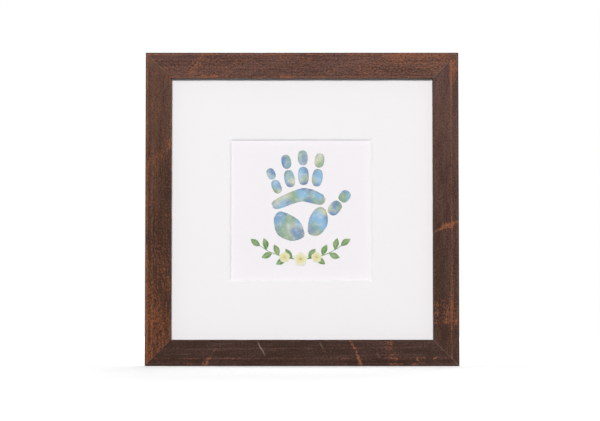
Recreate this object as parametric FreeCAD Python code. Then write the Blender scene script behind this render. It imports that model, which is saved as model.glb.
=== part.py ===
"""A square wooden picture frame that holds a baby's handprint behind a white window mat.

Four mitred rails carry a sandwich of glass, mat, art sheet and boards in a rabbet cut in their backs.
Turn buttons hold the back panel in, and a leg hinged on the panel lets the frame stand on a table.
X runs to the viewer's right, Y runs from the front to the back, and Z is up. The origin is the middle
of the face that the frame stands on. All lengths are in millimetres.
"""

import FreeCAD
import Part
import math
import os

# The picture and the opening that holds it
picture_size = 203.2  # side of the glass, mat and boards, an 8 inch square
picture_play = 0.8  # room between the picture's edge and the wood, each side
lip_cover = 6.35  # how far the lip covers the picture, each side

# The rails' moulding
rail_width = 19.05  # from the outer side to the sight edge
rail_depth = 19.05  # from the front face to the back face
bevel_width = 6.1  # the outer part of the face, which falls away from the ridge
bevel_drop = 1.0  # how far the bevel falls by the outer edge
outer_edge_radius = 0.9
ridge_radius = 2.5
sight_edge_radius = 0.7
back_edge_radius = 0.5

# The layers in the rabbet, from the glass to the back
glass_thickness = 2.0
mat_thickness = 1.5
tape_thickness = 0.15
art_thickness = 0.4
mount_board_thickness = 1.5
filler_thickness = 5.0
panel_thickness = 3.0
panel_inset = 0.1  # the panel's back lies this far inside the rails' back

# The mat's window and the sheet behind it
window_size = 101.6  # side of the window at the back of its bevel, 4 inches
window_shift = -1.1  # the window is cut this far to the viewer's left of the middle
window_bevel_angle = 45.0  # degrees from the mat's face
art_margin = 26.6  # bare board around the art sheet, each side
tape_length = 20.0
tape_lap = 12.0  # how far a tape reaches over the sheet, and over the board
tape_spacing = 92.0

# The painted handprint
paint_thickness = 0.2
hand_margin = 7.8  # from the middle finger's tip up to the window's edge
hand_clearance = 13.5  # from the garland's lowest line up to the heel of the palm
hand_tilt = -4.0  # degrees, towards the viewer's left

# Each finger: where its root is, its lean from upright in degrees, its length and its width.
# Places, lengths and widths are shares of the hand's height.
finger_shares = {
    "index": (0.215, 0.585, 11.0, 0.375, 0.120),
    "middle": (0.078, 0.610, 2.0, 0.390, 0.122),
    "ring": (-0.062, 0.596, -7.0, 0.370, 0.118),
    "little": (-0.198, 0.540, -19.0, 0.300, 0.104),
    "thumb": (0.342, 0.270, 44.0, 0.330, 0.132),
}
# Each finger's two pads: how far up its length they start and end, and how much narrower the upper one is
finger_pad_shares = ((0.0, 0.535), (0.565, 1.0))
fingertip_share = 0.92
pad_fullness = 2.5  # the power of the pads' outline: 2 is an ellipse, more is squarer
pad_point_count = 14
palm_point_count = 20
# Points on the smooth outlines of the palm's three pads, in shares of the hand's height
ridge_pad_shares = (
    (-0.262, 0.470), (0.060, 0.582), (0.272, 0.505), (0.312, 0.425), (0.246, 0.378),
    (0.045, 0.432), (-0.226, 0.366), (-0.292, 0.402),
)
thumb_pad_shares = (
    (0.205, 0.352), (0.285, 0.345), (0.318, 0.270), (0.305, 0.140),
    (0.200, 0.040), (0.095, 0.065), (0.092, 0.165), (0.125, 0.265),
)
heel_pad_shares = (
    (-0.180, 0.338), (-0.256, 0.312), (-0.284, 0.235), (-0.252, 0.085), (-0.120, 0.005),
    (-0.010, 0.010), (0.052, 0.065), (0.000, 0.225),
)

# The garland of pressed leaves and blossoms under the hand
garland_margin = 14.3  # from the garland's lowest line down to the window's edge, and from its ends to the sides
garland_reach = 36.0  # degrees that each stem runs up from the lowest point
stem_width = 0.8
stem_thickness = 0.3
leaf_length = 8.8
leaf_width = 4.3
leaf_thickness = 0.25
leaf_splay = 48.0  # degrees between a leaf and its stem
leaf_step_count = 6  # points along each side of a leaf
leaf_count = 6  # on each stem
blossom_radius = 5.2
blossom_thickness = 0.3
petal_count = 5
petal_step_count = 5  # points round each petal
petal_roundness = 0.45  # the power of the petals' outline: less is rounder
blossom_notch_share = 0.42  # how far out the petals part, of the blossom's radius
small_blossom_share = 0.78  # of the middle blossom's size
small_blossom_angle = 13.5  # degrees along the garland from the middle

# The corner nails, two in each mitre
corner_nail_leg = 5.0
corner_nail_thickness = 0.6
corner_nail_height = 8.0
corner_nail_places_share = (0.28, 0.62)  # of the wood's width at the back

# The turn buttons and their screws
button_spacing = 96.0  # between the two buttons on one side
button_lift = 0.1
button_thickness = 1.0
button_pivot_radius = 4.6
button_tip_radius = 3.2
button_reach = 13.5  # from the pivot to the middle of the tip
button_grip_rise = 1.6  # how far the tip turns up
button_grip_run = 3.0
button_hole_clearance = 0.05
screw_radius = 1.5
screw_length = 9.0
screw_head_radius = 3.0
screw_head_height = 1.9
screw_head_clearance = 0.1
screw_slot_width = 0.8
screw_slot_depth = 0.9

# The easel hinge on the back panel
hinge_height = 160.0  # of the pin's axis, above the base
hinge_width = 36.0
hinge_sheet_thickness = 0.8
hinge_lift = 0.2  # room between the moving leaf and the panel
knuckle_count = 5
knuckle_gap = 0.2
knuckle_room = 0.4  # from a knuckle to the cut-out that clears it
pin_radius = 1.0
pin_clearance = 0.05
pin_head_radius = 1.6
pin_head_thickness = 0.6
panel_leaf_height = 22.0
leg_leaf_height = 27.0
leaf_corner_radius = 4.0
easel_angle = 25.0  # degrees, where the stops meet the panel's leaf
stop_length = 8.0
stop_clearance = 0.1
rivet_radius = 1.2
rivet_head_radius = 2.3
rivet_head_height = 0.7
rivet_side_share = 0.28  # how far each of a leaf's two rivets is from its middle, of the leaf's width
rivet_reach_share = 0.68  # how far they are from the pin, of the leaf's height

# The easel leg
leg_thickness = 3.0
leg_foot_rise = 5.0  # of the folded leg's foot above the base
leg_top_width = 40.0
leg_foot_width = 62.0
leg_top_radius = 5.0
leg_foot_radius = 7.0

# The sawtooth hanger on the top rail and its nails
hanger_length = 44.0
hanger_height = 8.6
hanger_thickness = 0.7
hanger_rise = 2.2  # from the wood to the inside of the raised part
hanger_foot_length = 8.5
hanger_ramp_length = 3.0
tooth_count = 9
tooth_depth = 1.5
tooth_pitch = 2.2
hanger_corner_radius = 1.5
nail_radius = 0.8
nail_length = 10.0
nail_head_radius = 1.9
nail_head_height = 0.7

# The rubber bumpers that keep the frame off the wall
bumper_radius = 5.3
bumper_height = 5.0
bumper_bevel = 1.2
bumper_place = 20.0  # above the base

overrun = 2.0  # how far a cutting solid passes the face that it cuts
rounding_share = 1e-9  # two places nearer than this share of the frame's side are the same

# Sizes that follow from the ones above
sight_size = picture_size - 2 * lip_cover
frame_size = sight_size + 2 * rail_width
half_frame = frame_size / 2
rabbet_size = picture_size + 2 * picture_play
back_wood_width = (frame_size - rabbet_size) / 2
stack_thickness = (
    glass_thickness + mat_thickness + tape_thickness + art_thickness
    + mount_board_thickness + filler_thickness + panel_thickness
)
front = -rail_depth / 2
back = rail_depth / 2
panel_back = back - panel_inset
glass_front = panel_back - stack_thickness
mat_front = glass_front + glass_thickness
mat_back = mat_front + mat_thickness
art_front = mat_back + tape_thickness
mount_board_front = art_front + art_thickness
filler_front = mount_board_front + mount_board_thickness
panel_front = filler_front + filler_thickness
middle = half_frame  # height of the picture's middle
art_size = picture_size - 2 * art_margin
garland_low = garland_margin - window_size / 2
hand_base = garland_low + hand_clearance
hand_height = window_size / 2 - hand_margin - hand_base
knuckle_radius = pin_radius + pin_clearance + hinge_sheet_thickness
pin_y = panel_back + hinge_lift + knuckle_radius
knuckle_pitch = (hinge_width + knuckle_gap) / knuckle_count
knuckle_length = knuckle_pitch - knuckle_gap
leg_leaf_front = panel_back + hinge_lift
leg_front = leg_leaf_front + hinge_sheet_thickness
leg_back = leg_front + leg_thickness

ACROSS = FreeCAD.Vector(1, 0, 0)
BACKWARDS = FreeCAD.Vector(0, 1, 0)
UPWARDS = FreeCAD.Vector(0, 0, 1)
FRAME_MIDDLE = FreeCAD.Vector(0, 0, middle)


def block(x_low, x_high, y_low, y_high, z_low, z_high):
    """A box between two corners."""
    size = (x_high - x_low, y_high - y_low, z_high - z_low)
    return Part.makeBox(*size, FreeCAD.Vector(x_low, y_low, z_low))


def square_plate(side, y_low, thickness, x_middle=0):
    """A square board about the picture's middle."""
    half = side / 2
    return block(x_middle - half, x_middle + half, y_low, y_low + thickness, middle - half, middle + half)


def facing_prism(points, y_low, y_high):
    """A polygon given by X and Z, drawn out from front to back."""
    corners = [FreeCAD.Vector(x, y_low, z) for x, z in points]
    face = Part.Face(Part.makePolygon(corners + corners[:1]))
    return face.extrude(BACKWARDS * (y_high - y_low))


def side_prism(points, x_low, x_high):
    """A polygon given by Y and Z, drawn out along X."""
    corners = [FreeCAD.Vector(x_low, y, z) for y, z in points]
    face = Part.Face(Part.makePolygon(corners + corners[:1]))
    return face.extrude(ACROSS * (x_high - x_low))


def plan_prism(points, z_low, z_high):
    """A polygon given by X and Y, drawn out upwards."""
    corners = [FreeCAD.Vector(x, y, z_low) for x, y in points]
    face = Part.Face(Part.makePolygon(corners + corners[:1]))
    return face.extrude(UPWARDS * (z_high - z_low))


def rod(radius, x_low, x_high, y, z):
    """A round bar along X."""
    return Part.makeCylinder(radius, x_high - x_low, FreeCAD.Vector(x_low, y, z), ACROSS)


def disc(radius, x, z, y_low, y_high):
    """A round bar from front to back."""
    return Part.makeCylinder(radius, y_high - y_low, FreeCAD.Vector(x, y_low, z), BACKWARDS)


def edges_where(shape, wanted):
    """The straight edges whose two ends both satisfy a test."""
    return [e for e in shape.Edges if len(e.Vertexes) == 2 and all(wanted(v.Point) for v in e.Vertexes)]


def near(a, b):
    """Whether two lengths are the same, apart from rounding."""
    return abs(a - b) < rounding_share * frame_size


def turned(shape, degrees):
    """A copy turned about the frame's middle, seen from the front."""
    copy = shape.copy()
    copy.rotate(FRAME_MIDDLE, BACKWARDS, degrees)
    return copy


def placed(shape, x, y, z):
    """A copy moved by three lengths."""
    copy = shape.copy()
    copy.translate(FreeCAD.Vector(x, y, z))
    return copy


def without_all(shape, cutters):
    """A shape with several others cut out of it."""
    for cutter in cutters:
        shape = shape.cut(cutter)
    return shape


def fused(shapes):
    """Several overlapping shapes as one solid, with the seams between their faces removed."""
    whole = shapes[0]
    for shape in shapes[1:]:
        whole = whole.fuse(shape)
    return whole.removeSplitter()


def fastener(radius, length, head_radius, head_height, head_start=0):
    """A nail, screw or rivet along Y: it enters a face at Y = 0, and its head stands behind that face."""
    shank = disc(radius, 0, 0, -length, head_start)
    return fused([shank, disc(head_radius, 0, 0, head_start, head_start + head_height)])


# The moulding is drawn once, as the bottom rail, with its long edges rounded
def moulding():
    """The bottom rail before its mitres: bevelled face, ridge, sight edge, lip and rabbet."""
    shoulder = back_wood_width
    outline = [
        (back, 0), (front + bevel_drop, 0), (front, bevel_width), (front, rail_width),
        (glass_front, rail_width), (glass_front, shoulder), (back, shoulder),
    ]
    solid = side_prism(outline, -half_frame, half_frame)
    rounded = (
        (outer_edge_radius, front + bevel_drop, 0),
        (ridge_radius, front, bevel_width),
        (sight_edge_radius, front, rail_width),
        (back_edge_radius, back, 0),
        (back_edge_radius, back, shoulder),
    )
    for radius, y, z in rounded:
        edges = edges_where(solid, lambda p, y=y, z=z: near(p.y, y) and near(p.z, z))
        solid = solid.makeFillet(radius, edges)
    return solid


def mitred_rail():
    """The bottom rail, cut at 45 degrees at both ends."""
    inner = half_frame - rail_width
    corner_to_corner = facing_prism(
        [(-half_frame, 0), (half_frame, 0), (inner, rail_width), (-inner, rail_width)],
        front - overrun, back + overrun,
    )
    return moulding().common(corner_to_corner)


def corner_nails():
    """Bent steel nails driven into the back of each mitre, one leg in each rail."""
    nails = []
    for share in corner_nail_places_share:
        bend = share * back_wood_width
        inside = bend + corner_nail_thickness
        end = bend + corner_nail_leg
        legs = [(bend, bend), (end, bend), (end, inside), (inside, inside), (inside, end), (bend, end)]
        corner = [(a - half_frame, b) for a, b in legs]
        nails.append(facing_prism(corner, back - corner_nail_height, back))
    return [turned(nail, quarter * 90) for quarter in range(4) for nail in nails]


# The turn buttons sit on the side rails, half on wood and half over the panel
button_x = half_frame - back_wood_width / 2
button_heights = {"lower": middle - button_spacing / 2, "upper": middle + button_spacing / 2}


def button():
    """A turn button with its pivot at the origin, pointing along +X: a formed strip cut to a tapered plan."""
    lean = math.asin((button_pivot_radius - button_tip_radius) / button_reach)
    side = (math.sin(lean), math.cos(lean))
    taper = [
        (button_pivot_radius * side[0], -button_pivot_radius * side[1]),
        (button_reach + button_tip_radius * side[0], -button_tip_radius * side[1]),
        (button_reach + button_tip_radius * side[0], button_tip_radius * side[1]),
        (button_pivot_radius * side[0], button_pivot_radius * side[1]),
    ]
    height = button_lift + button_thickness + button_grip_rise + overrun
    plan = fused([
        disc(button_pivot_radius, 0, 0, 0, height),
        facing_prism(taper, 0, height),
        disc(button_tip_radius, button_reach, 0, 0, height),
    ])
    tip = button_reach + button_tip_radius
    bend = tip - button_grip_run
    top = button_lift + button_thickness
    strip = plan_prism(
        [
            (-button_pivot_radius, button_lift), (bend, button_lift), (tip, button_lift + button_grip_rise),
            (tip, top + button_grip_rise), (bend, top), (-button_pivot_radius, top),
        ],
        -button_pivot_radius, button_pivot_radius,
    )
    hole = disc(screw_radius + button_hole_clearance, 0, 0, 0, height)
    return strip.common(plan).cut(hole)


def button_screw():
    """A screw with a slotted head, entering the wood at Y = 0."""
    head_start = button_lift + button_thickness + screw_head_clearance
    screw = fastener(screw_radius, screw_length, screw_head_radius, screw_head_height, head_start)
    crown = head_start + screw_head_height
    half_width = screw_slot_width / 2
    slot = block(
        -screw_head_radius, screw_head_radius, crown - screw_slot_depth, crown + overrun, -half_width, half_width
    )
    return screw.cut(slot)


def turn_buttons():
    """The four buttons by name."""
    made = {}
    for side, sign, degrees in (("left", -1, 0), ("right", 1, 180)):
        for level, height in button_heights.items():
            shape = button()
            shape.rotate(FreeCAD.Vector(), BACKWARDS, degrees)
            made[f"turn_button_{side}_{level}"] = placed(shape, sign * button_x, back, height)
    return made


SCREW_PLACES = [(side * button_x, height) for side in (-1, 1) for height in button_heights.values()]


def turn_button_screws():
    """The four screws that the buttons turn on."""
    return [placed(button_screw(), x, back, z) for x, z in SCREW_PLACES]


# The sawtooth hanger stands off the top rail between its two feet
hanger_z = frame_size - back_wood_width / 2
hanger_nail_x = (hanger_length - hanger_foot_length) / 2
NAIL_PLACES = [(side * hanger_nail_x, hanger_z) for side in (-1, 1)]


def sawtooth_hanger():
    """A formed steel strip: two feet nailed to the wood, and a raised bar with a row of teeth along its low edge."""
    end = hanger_length / 2
    foot = end - hanger_foot_length
    bar = foot - hanger_ramp_length
    inner = [(-end, 0), (-foot, 0), (-bar, hanger_rise), (bar, hanger_rise), (foot, 0), (end, 0)]
    outer = [(x, y + hanger_thickness) for x, y in reversed(inner)]
    low, high = -hanger_height / 2, hanger_height / 2
    strip = plan_prism(inner + outer, low, high)
    corners = edges_where(strip, lambda p: near(abs(p.x), end))
    strip = strip.makeFillet(hanger_corner_radius, [e for e in corners if near(e.Length, hanger_thickness)])
    half_tooth = tooth_pitch / 2
    notches = []
    for i in range(tooth_count):
        x = (i - (tooth_count - 1) / 2) * tooth_pitch
        notch = [(x - half_tooth, low), (x, low + tooth_depth), (x + half_tooth, low)]
        notches.append(facing_prism(notch, hanger_rise - overrun, hanger_rise + hanger_thickness + overrun))
    return placed(without_all(strip, notches), 0, back, hanger_z)


def hanger_nails():
    """A nail through the middle of each of the hanger's feet."""
    nail = fastener(nail_radius, nail_length, nail_head_radius, nail_head_height, hanger_thickness)
    return [placed(nail, x, back, z) for x, z in NAIL_PLACES]


def wall_bumpers():
    """Two rubber feet with bevelled rims on the back of the side rails, near the base."""
    foot = disc(bumper_radius, 0, 0, 0, bumper_height)
    rim = [e for e in foot.Edges if near(e.BoundBox.YMin, bumper_height) and e.Closed]
    foot = foot.makeChamfer(bumper_bevel, rim)
    return [placed(foot, side * button_x, back, bumper_place) for side in (-1, 1)]


def drilled(radius, places, y_low, y_high):
    """The holes for round shanks at several places."""
    return [disc(radius, x, z, y_low, y_high) for x, z in places]


# The mat, the art sheet and the tapes that hold it
def mat_board():
    """A white board with a square window, whose edge is cut at a bevel that opens to the front."""
    slope = 1 / math.tan(math.radians(window_bevel_angle))
    outlines = []
    for y in (mat_front - overrun, mat_back + overrun):
        half = window_size / 2 + (mat_back - y) * slope
        corners = [
            FreeCAD.Vector(window_shift + half * a, y, middle + half * b)
            for a, b in ((-1, -1), (1, -1), (1, 1), (-1, 1))
        ]
        outlines.append(Part.makePolygon(corners + corners[:1]))
    window = Part.makeLoft(outlines, True, True)
    return square_plate(picture_size, mat_front, mat_thickness).cut(window)


def holding_tapes():
    """Two strips of tape over the art sheet's top edge, stepping down to the board behind it."""
    edge = middle + art_size / 2
    outline = [
        (mat_back, edge - tape_lap), (art_front, edge - tape_lap), (art_front, edge), (mount_board_front, edge),
        (mount_board_front, edge + tape_lap), (mount_board_front - tape_thickness, edge + tape_lap),
        (mount_board_front - tape_thickness, edge + tape_thickness), (mat_back, edge + tape_thickness),
    ]
    tapes = []
    for side in (-1, 1):
        x = window_shift + side * tape_spacing / 2
        tapes.append(side_prism(outline, x - tape_length / 2, x + tape_length / 2))
    return tapes


def on_the_sheet(x, z, layer=0):
    """A point of the artwork, from the middle of the window, on the sheet or a layer above it."""
    return FreeCAD.Vector(window_shift + x, art_front - layer, middle + z)


# The handprint: each finger is two pads, and the palm is three pads with the creases between them
def finger_pads(root_x, root_z, lean, length, width):
    """The two pads of one finger, from its root to its tip: ellipses with fuller corners."""
    a = math.radians(lean)
    made = []
    for (start, end), narrowing in zip(finger_pad_shares, (1, fingertip_share)):
        outline = []
        for i in range(pad_point_count):
            t = i * math.tau / pad_point_count
            across = math.copysign(abs(math.cos(t)) ** (2 / pad_fullness), math.cos(t))
            up = math.copysign(abs(math.sin(t)) ** (2 / pad_fullness), math.sin(t))
            side = across * narrowing * width / 2
            rise = length * ((start + end) / 2 + up * (end - start) / 2)
            x = root_x + side * math.cos(a) + rise * math.sin(a)
            z = root_z - side * math.sin(a) + rise * math.cos(a)
            outline.append((x * hand_height, z * hand_height))
        made.append(facing_prism(outline, 0, paint_thickness))
    return made


def palm_pad(shares):
    """A pad of the palm, with a smooth outline through several points."""
    curve = Part.BSplineCurve()
    curve.interpolate([FreeCAD.Vector(x * hand_height, 0, z * hand_height) for x, z in shares], PeriodicFlag=True)
    ring = curve.discretize(palm_point_count + 1)[:-1]
    return facing_prism([(point.x, point.z) for point in ring], 0, paint_thickness)


def handprint():
    """The pads of paint, tilted about the heel of the palm and laid on the sheet."""
    pads = [pad for finger in finger_shares.values() for pad in finger_pads(*finger)]
    pads += [palm_pad(shares) for shares in (ridge_pad_shares, thumb_pad_shares, heel_pad_shares)]
    heel = on_the_sheet(0, hand_base, paint_thickness)
    for pad in pads:
        pad.rotate(FreeCAD.Vector(), BACKWARDS, hand_tilt)
    return [placed(pad, heel.x, heel.y, heel.z) for pad in pads]


# The garland: two stems on one arc, with leaves on alternate sides and blossoms in the middle
reach_angle = math.radians(garland_reach)
garland_half_width = window_size / 2 - garland_margin
garland_radius = (garland_half_width - leaf_length * math.cos(reach_angle)) / math.sin(reach_angle)


def garland_point(angle, radius=garland_radius):
    """The place on the garland's arc, or on one beside it, at an angle from its lowest point."""
    a = math.radians(angle)
    return radius * math.sin(a), garland_low + garland_radius - radius * math.cos(a)


def garland_stems():
    """Two thin arcs that meet under the middle blossom."""
    stems = []
    for side in (-1, 1):
        edges = []
        ends = []
        for radius in (garland_radius - stem_width / 2, garland_radius + stem_width / 2):
            points = []
            for share in (0.0, 0.5, 1.0):
                x, z = garland_point(side * garland_reach * share, radius)
                points.append(on_the_sheet(x, z, stem_thickness))
            edges.append(Part.Arc(*points).toShape())
            ends.append((points[0], points[-1]))
        closing = [Part.makeLine(ends[0][i], ends[1][i]) for i in (0, 1)]
        wire = Part.Wire(Part.__sortEdges__(edges + closing))
        stems.append(Part.Face(wire).extrude(BACKWARDS * stem_thickness))
    return stems


def leaf(x, z, heading):
    """A leaf blade from its stalk end: its width follows a half wave. Its heading is in degrees from upright."""
    a = math.radians(heading)
    near_side, far_side = [], []
    for i in range(leaf_step_count + 1):
        along = leaf_length * i / leaf_step_count
        aside = leaf_width / 2 * math.sin(math.pi * i / leaf_step_count)
        middle_x = x + along * math.sin(a)
        middle_z = z + along * math.cos(a)
        near_side.append((middle_x - aside * math.cos(a), middle_z + aside * math.sin(a)))
        far_side.append((middle_x + aside * math.cos(a), middle_z - aside * math.sin(a)))
    outline = near_side + far_side[-2:0:-1]
    place = on_the_sheet(0, 0, stem_thickness + leaf_thickness)
    return placed(facing_prism(outline, 0, leaf_thickness), place.x, place.y, place.z)


def garland_leaves():
    """Leaves on alternate sides of each stem, with one at its end."""
    first = small_blossom_angle / 2
    step = (garland_reach - first) / (leaf_count - 1)
    leaves = []
    for side in (-1, 1):
        for i in range(leaf_count):
            angle = side * (first + i * step)
            x, z = garland_point(angle)
            outwards = 90 * side - angle
            splay = 0 if i == leaf_count - 1 else leaf_splay * (1 if i % 2 else -1) * side
            leaves.append(leaf(x, z, outwards + splay))
    return leaves


def blossom(x, z, radius):
    """A five petalled blossom: its radius follows a wave with a peak for each petal."""
    steps = petal_count * petal_step_count
    outline = []
    for i in range(steps):
        turn = i * math.tau / steps
        wave = abs(math.cos(turn * petal_count / 2)) ** petal_roundness
        reach = radius * (blossom_notch_share + (1 - blossom_notch_share) * wave)
        outline.append((x + reach * math.sin(turn), z + reach * math.cos(turn)))
    place = on_the_sheet(0, 0, stem_thickness + leaf_thickness + blossom_thickness)
    return placed(facing_prism(outline, 0, blossom_thickness), place.x, place.y, place.z)


def garland_blossoms():
    """The middle blossom and a smaller one at each side."""
    places = [(0, 1), (-small_blossom_angle, small_blossom_share), (small_blossom_angle, small_blossom_share)]
    return [blossom(*garland_point(angle), blossom_radius * scale) for angle, scale in places]


# The easel hinge: knuckles of the two leaves alternate on one pin
def knuckle_spans(first):
    """The ends along X of every second knuckle, starting with the first or the second."""
    spans = []
    for i in range(first, knuckle_count, 2):
        low = i * knuckle_pitch - hinge_width / 2
        spans.append((low, low + knuckle_length))
    return spans


PANEL_KNUCKLES = knuckle_spans(0)
LEG_KNUCKLES = knuckle_spans(1)


def cut_outs(spans, z_low, z_high):
    """Slots that clear the other leaf's knuckles."""
    return [
        block(low - knuckle_gap, high + knuckle_gap, panel_back - overrun, leg_back + overrun, z_low, z_high)
        for low, high in spans
    ]


def pin_bore():
    """The hole that the pin turns in, through every knuckle."""
    reach = hinge_width / 2 + overrun
    return rod(pin_radius + pin_clearance, -reach, reach, pin_y, hinge_height)


def rounded_sheet(y_low, z_low, z_high, z_rounded):
    """A hinge leaf's flat sheet, with two of its corners rounded."""
    half = hinge_width / 2
    sheet = block(-half, half, y_low, y_low + hinge_sheet_thickness, z_low, z_high)
    corners = edges_where(sheet, lambda p: near(p.z, z_rounded) and near(abs(p.x), half))
    corners = [e for e in corners if near(e.Length, hinge_sheet_thickness)]
    return sheet.makeFillet(leaf_corner_radius, corners)


def panel_hinge_leaf():
    """The fixed leaf: it lies on the panel above the pin, and carries every other knuckle."""
    top = hinge_height + panel_leaf_height
    sheet = rounded_sheet(panel_back, hinge_height, top, top)
    slot_top = hinge_height + knuckle_radius + knuckle_room
    sheet = without_all(sheet, cut_outs(LEG_KNUCKLES, hinge_height - overrun, slot_top))
    knuckles = [rod(knuckle_radius, low, high, pin_y, hinge_height) for low, high in PANEL_KNUCKLES]
    return fused([sheet] + knuckles).cut(pin_bore())


def leg_hinge_leaf():
    """The moving leaf: it lies under the leg below the pin. Its stops stand up from its knuckles."""
    low_edge = hinge_height - leg_leaf_height
    sheet = rounded_sheet(leg_leaf_front, low_edge, hinge_height, low_edge)
    slot_low = hinge_height - knuckle_radius - knuckle_room
    sheet = without_all(sheet, cut_outs(PANEL_KNUCKLES, slot_low, hinge_height + overrun))
    knuckles = [rod(knuckle_radius, low, high, pin_y, hinge_height) for low, high in LEG_KNUCKLES]
    stop_front = panel_back + hinge_sheet_thickness + stop_clearance
    stops = []
    for low, high in LEG_KNUCKLES:
        stop = block(
            low, high, stop_front, stop_front + hinge_sheet_thickness, hinge_height, hinge_height + stop_length
        )
        stop.rotate(FreeCAD.Vector(0, pin_y, hinge_height), ACROSS, -easel_angle)
        stops.append(stop)
    return fused([sheet] + knuckles + stops).cut(pin_bore())


def hinge_pin():
    """The pin, with a flattened head at one end."""
    half = hinge_width / 2 + pin_clearance
    shaft = rod(pin_radius, -half, half, pin_y, hinge_height)
    return fused([shaft, rod(pin_head_radius, half, half + pin_head_thickness, pin_y, hinge_height)])


def rivet_places(leaf_height, direction):
    """Where a leaf's two rivets sit, for a leaf above the pin (1) or below it (-1)."""
    height = hinge_height + direction * rivet_reach_share * leaf_height
    return [(side * rivet_side_share * hinge_width, height) for side in (-1, 1)]


def hinge_rivets(face, far_face, places):
    """Rivets whose heads sit on one face and whose tails end flush in another."""
    rivet = fastener(rivet_radius, face - far_face, rivet_head_radius, rivet_head_height)
    return [placed(rivet, x, face, z) for x, z in places]


def easel_leg():
    """A tapered board with rounded corners, wider at the foot."""
    top = hinge_height - knuckle_radius - knuckle_room
    foot = leg_foot_rise
    board = facing_prism(
        [
            (-leg_foot_width / 2, foot), (leg_foot_width / 2, foot),
            (leg_top_width / 2, top), (-leg_top_width / 2, top),
        ],
        leg_front, leg_back,
    )
    for radius, z in ((leg_foot_radius, foot), (leg_top_radius, top)):
        corners = edges_where(board, lambda p, z=z: near(p.z, z))
        corners = [e for e in corners if near(e.Length, leg_thickness)]
        board = board.makeFillet(radius, corners)
    return board


def build():
    """Every named piece as a shape or a list of separate solids."""
    nails = corner_nails()
    rail = mitred_rail()
    in_the_wood = nails + drilled(screw_radius, SCREW_PLACES, back - screw_length, back + overrun)
    in_the_wood += drilled(nail_radius, NAIL_PLACES, back - nail_length, back + overrun)
    pieces = {
        "bottom_rail": without_all(rail, in_the_wood),
        "left_rail": without_all(turned(rail, 90), in_the_wood),
        "top_rail": without_all(turned(rail, 180), in_the_wood),
        "right_rail": without_all(turned(rail, -90), in_the_wood),
        "corner_nails": nails,
        "turn_button_screws": turn_button_screws(),
        "sawtooth_hanger": without_all(sawtooth_hanger(), in_the_wood),
        "hanger_nails": hanger_nails(),
        "wall_bumpers": wall_bumpers(),
    }
    pieces.update(turn_buttons())

    pieces["glass_pane"] = square_plate(picture_size, glass_front, glass_thickness)
    pieces["mat_board"] = mat_board()
    pieces["art_sheet"] = square_plate(art_size, art_front, art_thickness, window_shift)
    pieces["holding_tapes"] = holding_tapes()
    pieces["mount_board"] = square_plate(picture_size, mount_board_front, mount_board_thickness)
    pieces["filler_board"] = square_plate(picture_size, filler_front, filler_thickness)
    pieces["handprint"] = handprint()
    pieces["garland_stems"] = garland_stems()
    pieces["garland_leaves"] = garland_leaves()
    pieces["garland_blossoms"] = garland_blossoms()

    panel_places = rivet_places(panel_leaf_height, 1)
    panel_holes = drilled(rivet_radius, panel_places, panel_front, leg_back)
    leg_places = rivet_places(leg_leaf_height, -1)
    leg_holes = drilled(rivet_radius, leg_places, leg_leaf_front, leg_back)
    panel = square_plate(picture_size, panel_front, panel_thickness)
    pieces["back_panel"] = without_all(panel, panel_holes)
    pieces["panel_hinge_leaf"] = without_all(panel_hinge_leaf(), panel_holes)
    pieces["panel_rivets"] = hinge_rivets(panel_back + hinge_sheet_thickness, panel_front, panel_places)
    pieces["hinge_pin"] = hinge_pin()
    pieces["leg_hinge_leaf"] = without_all(leg_hinge_leaf(), leg_holes)
    pieces["easel_leg"] = without_all(easel_leg(), leg_holes)
    pieces["leg_rivets"] = hinge_rivets(leg_back, leg_leaf_front, leg_places)
    return pieces


def save(pieces):
    """Writes one STEP file for each named piece and prints what it holds."""
    os.makedirs("parts", exist_ok=True)
    for name, piece in pieces.items():
        solids = [s for shape in (piece if isinstance(piece, list) else [piece]) for s in shape.Solids]
        whole = solids[0] if len(solids) == 1 else Part.makeCompound(solids)
        whole.exportStep(f"parts/{name}.step")
        print(f"{name}: {len(solids)} solids, {whole.Volume:.1f} mm3, valid {whole.isValid()}")


save(build())
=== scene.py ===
# %% [markdown]
# # A baby's handprint in a stained wooden frame
#
# The real object is a square picture frame. Four mitred rails of brown stained wood hold a pane of
# glass, a white window mat and a sheet of paper with a print on it, and boards, turn buttons and a
# hinged leg close the back. The CAD part gives every piece its place and size. This script gives the
# pieces their looks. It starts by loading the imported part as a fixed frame: all lengths are in
# metres, X runs to the right, Y runs from the front to the back and Z is up.

import bpy
import numpy as np
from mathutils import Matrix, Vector


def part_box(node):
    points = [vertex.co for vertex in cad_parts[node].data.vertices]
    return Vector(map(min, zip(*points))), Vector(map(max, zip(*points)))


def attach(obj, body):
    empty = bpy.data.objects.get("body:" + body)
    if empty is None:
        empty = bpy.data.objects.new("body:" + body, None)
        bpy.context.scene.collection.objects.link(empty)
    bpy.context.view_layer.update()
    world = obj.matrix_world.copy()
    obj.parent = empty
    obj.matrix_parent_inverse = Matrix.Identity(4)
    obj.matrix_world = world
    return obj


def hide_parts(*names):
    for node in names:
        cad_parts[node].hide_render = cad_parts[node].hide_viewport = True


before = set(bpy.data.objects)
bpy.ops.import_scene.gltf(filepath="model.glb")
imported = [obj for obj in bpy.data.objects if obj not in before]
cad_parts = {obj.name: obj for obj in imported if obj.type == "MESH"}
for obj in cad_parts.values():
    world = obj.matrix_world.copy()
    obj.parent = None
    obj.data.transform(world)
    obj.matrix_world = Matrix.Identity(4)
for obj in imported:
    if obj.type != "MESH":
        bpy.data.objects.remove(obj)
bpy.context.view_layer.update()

# %% [markdown]
# Every size below is read from the CAD nodes where a node has it, so the new pieces land where the
# solids are. A node's box gives its lowest and highest corner.

# %% Sizes of the frame
MM = 0.001


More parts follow.
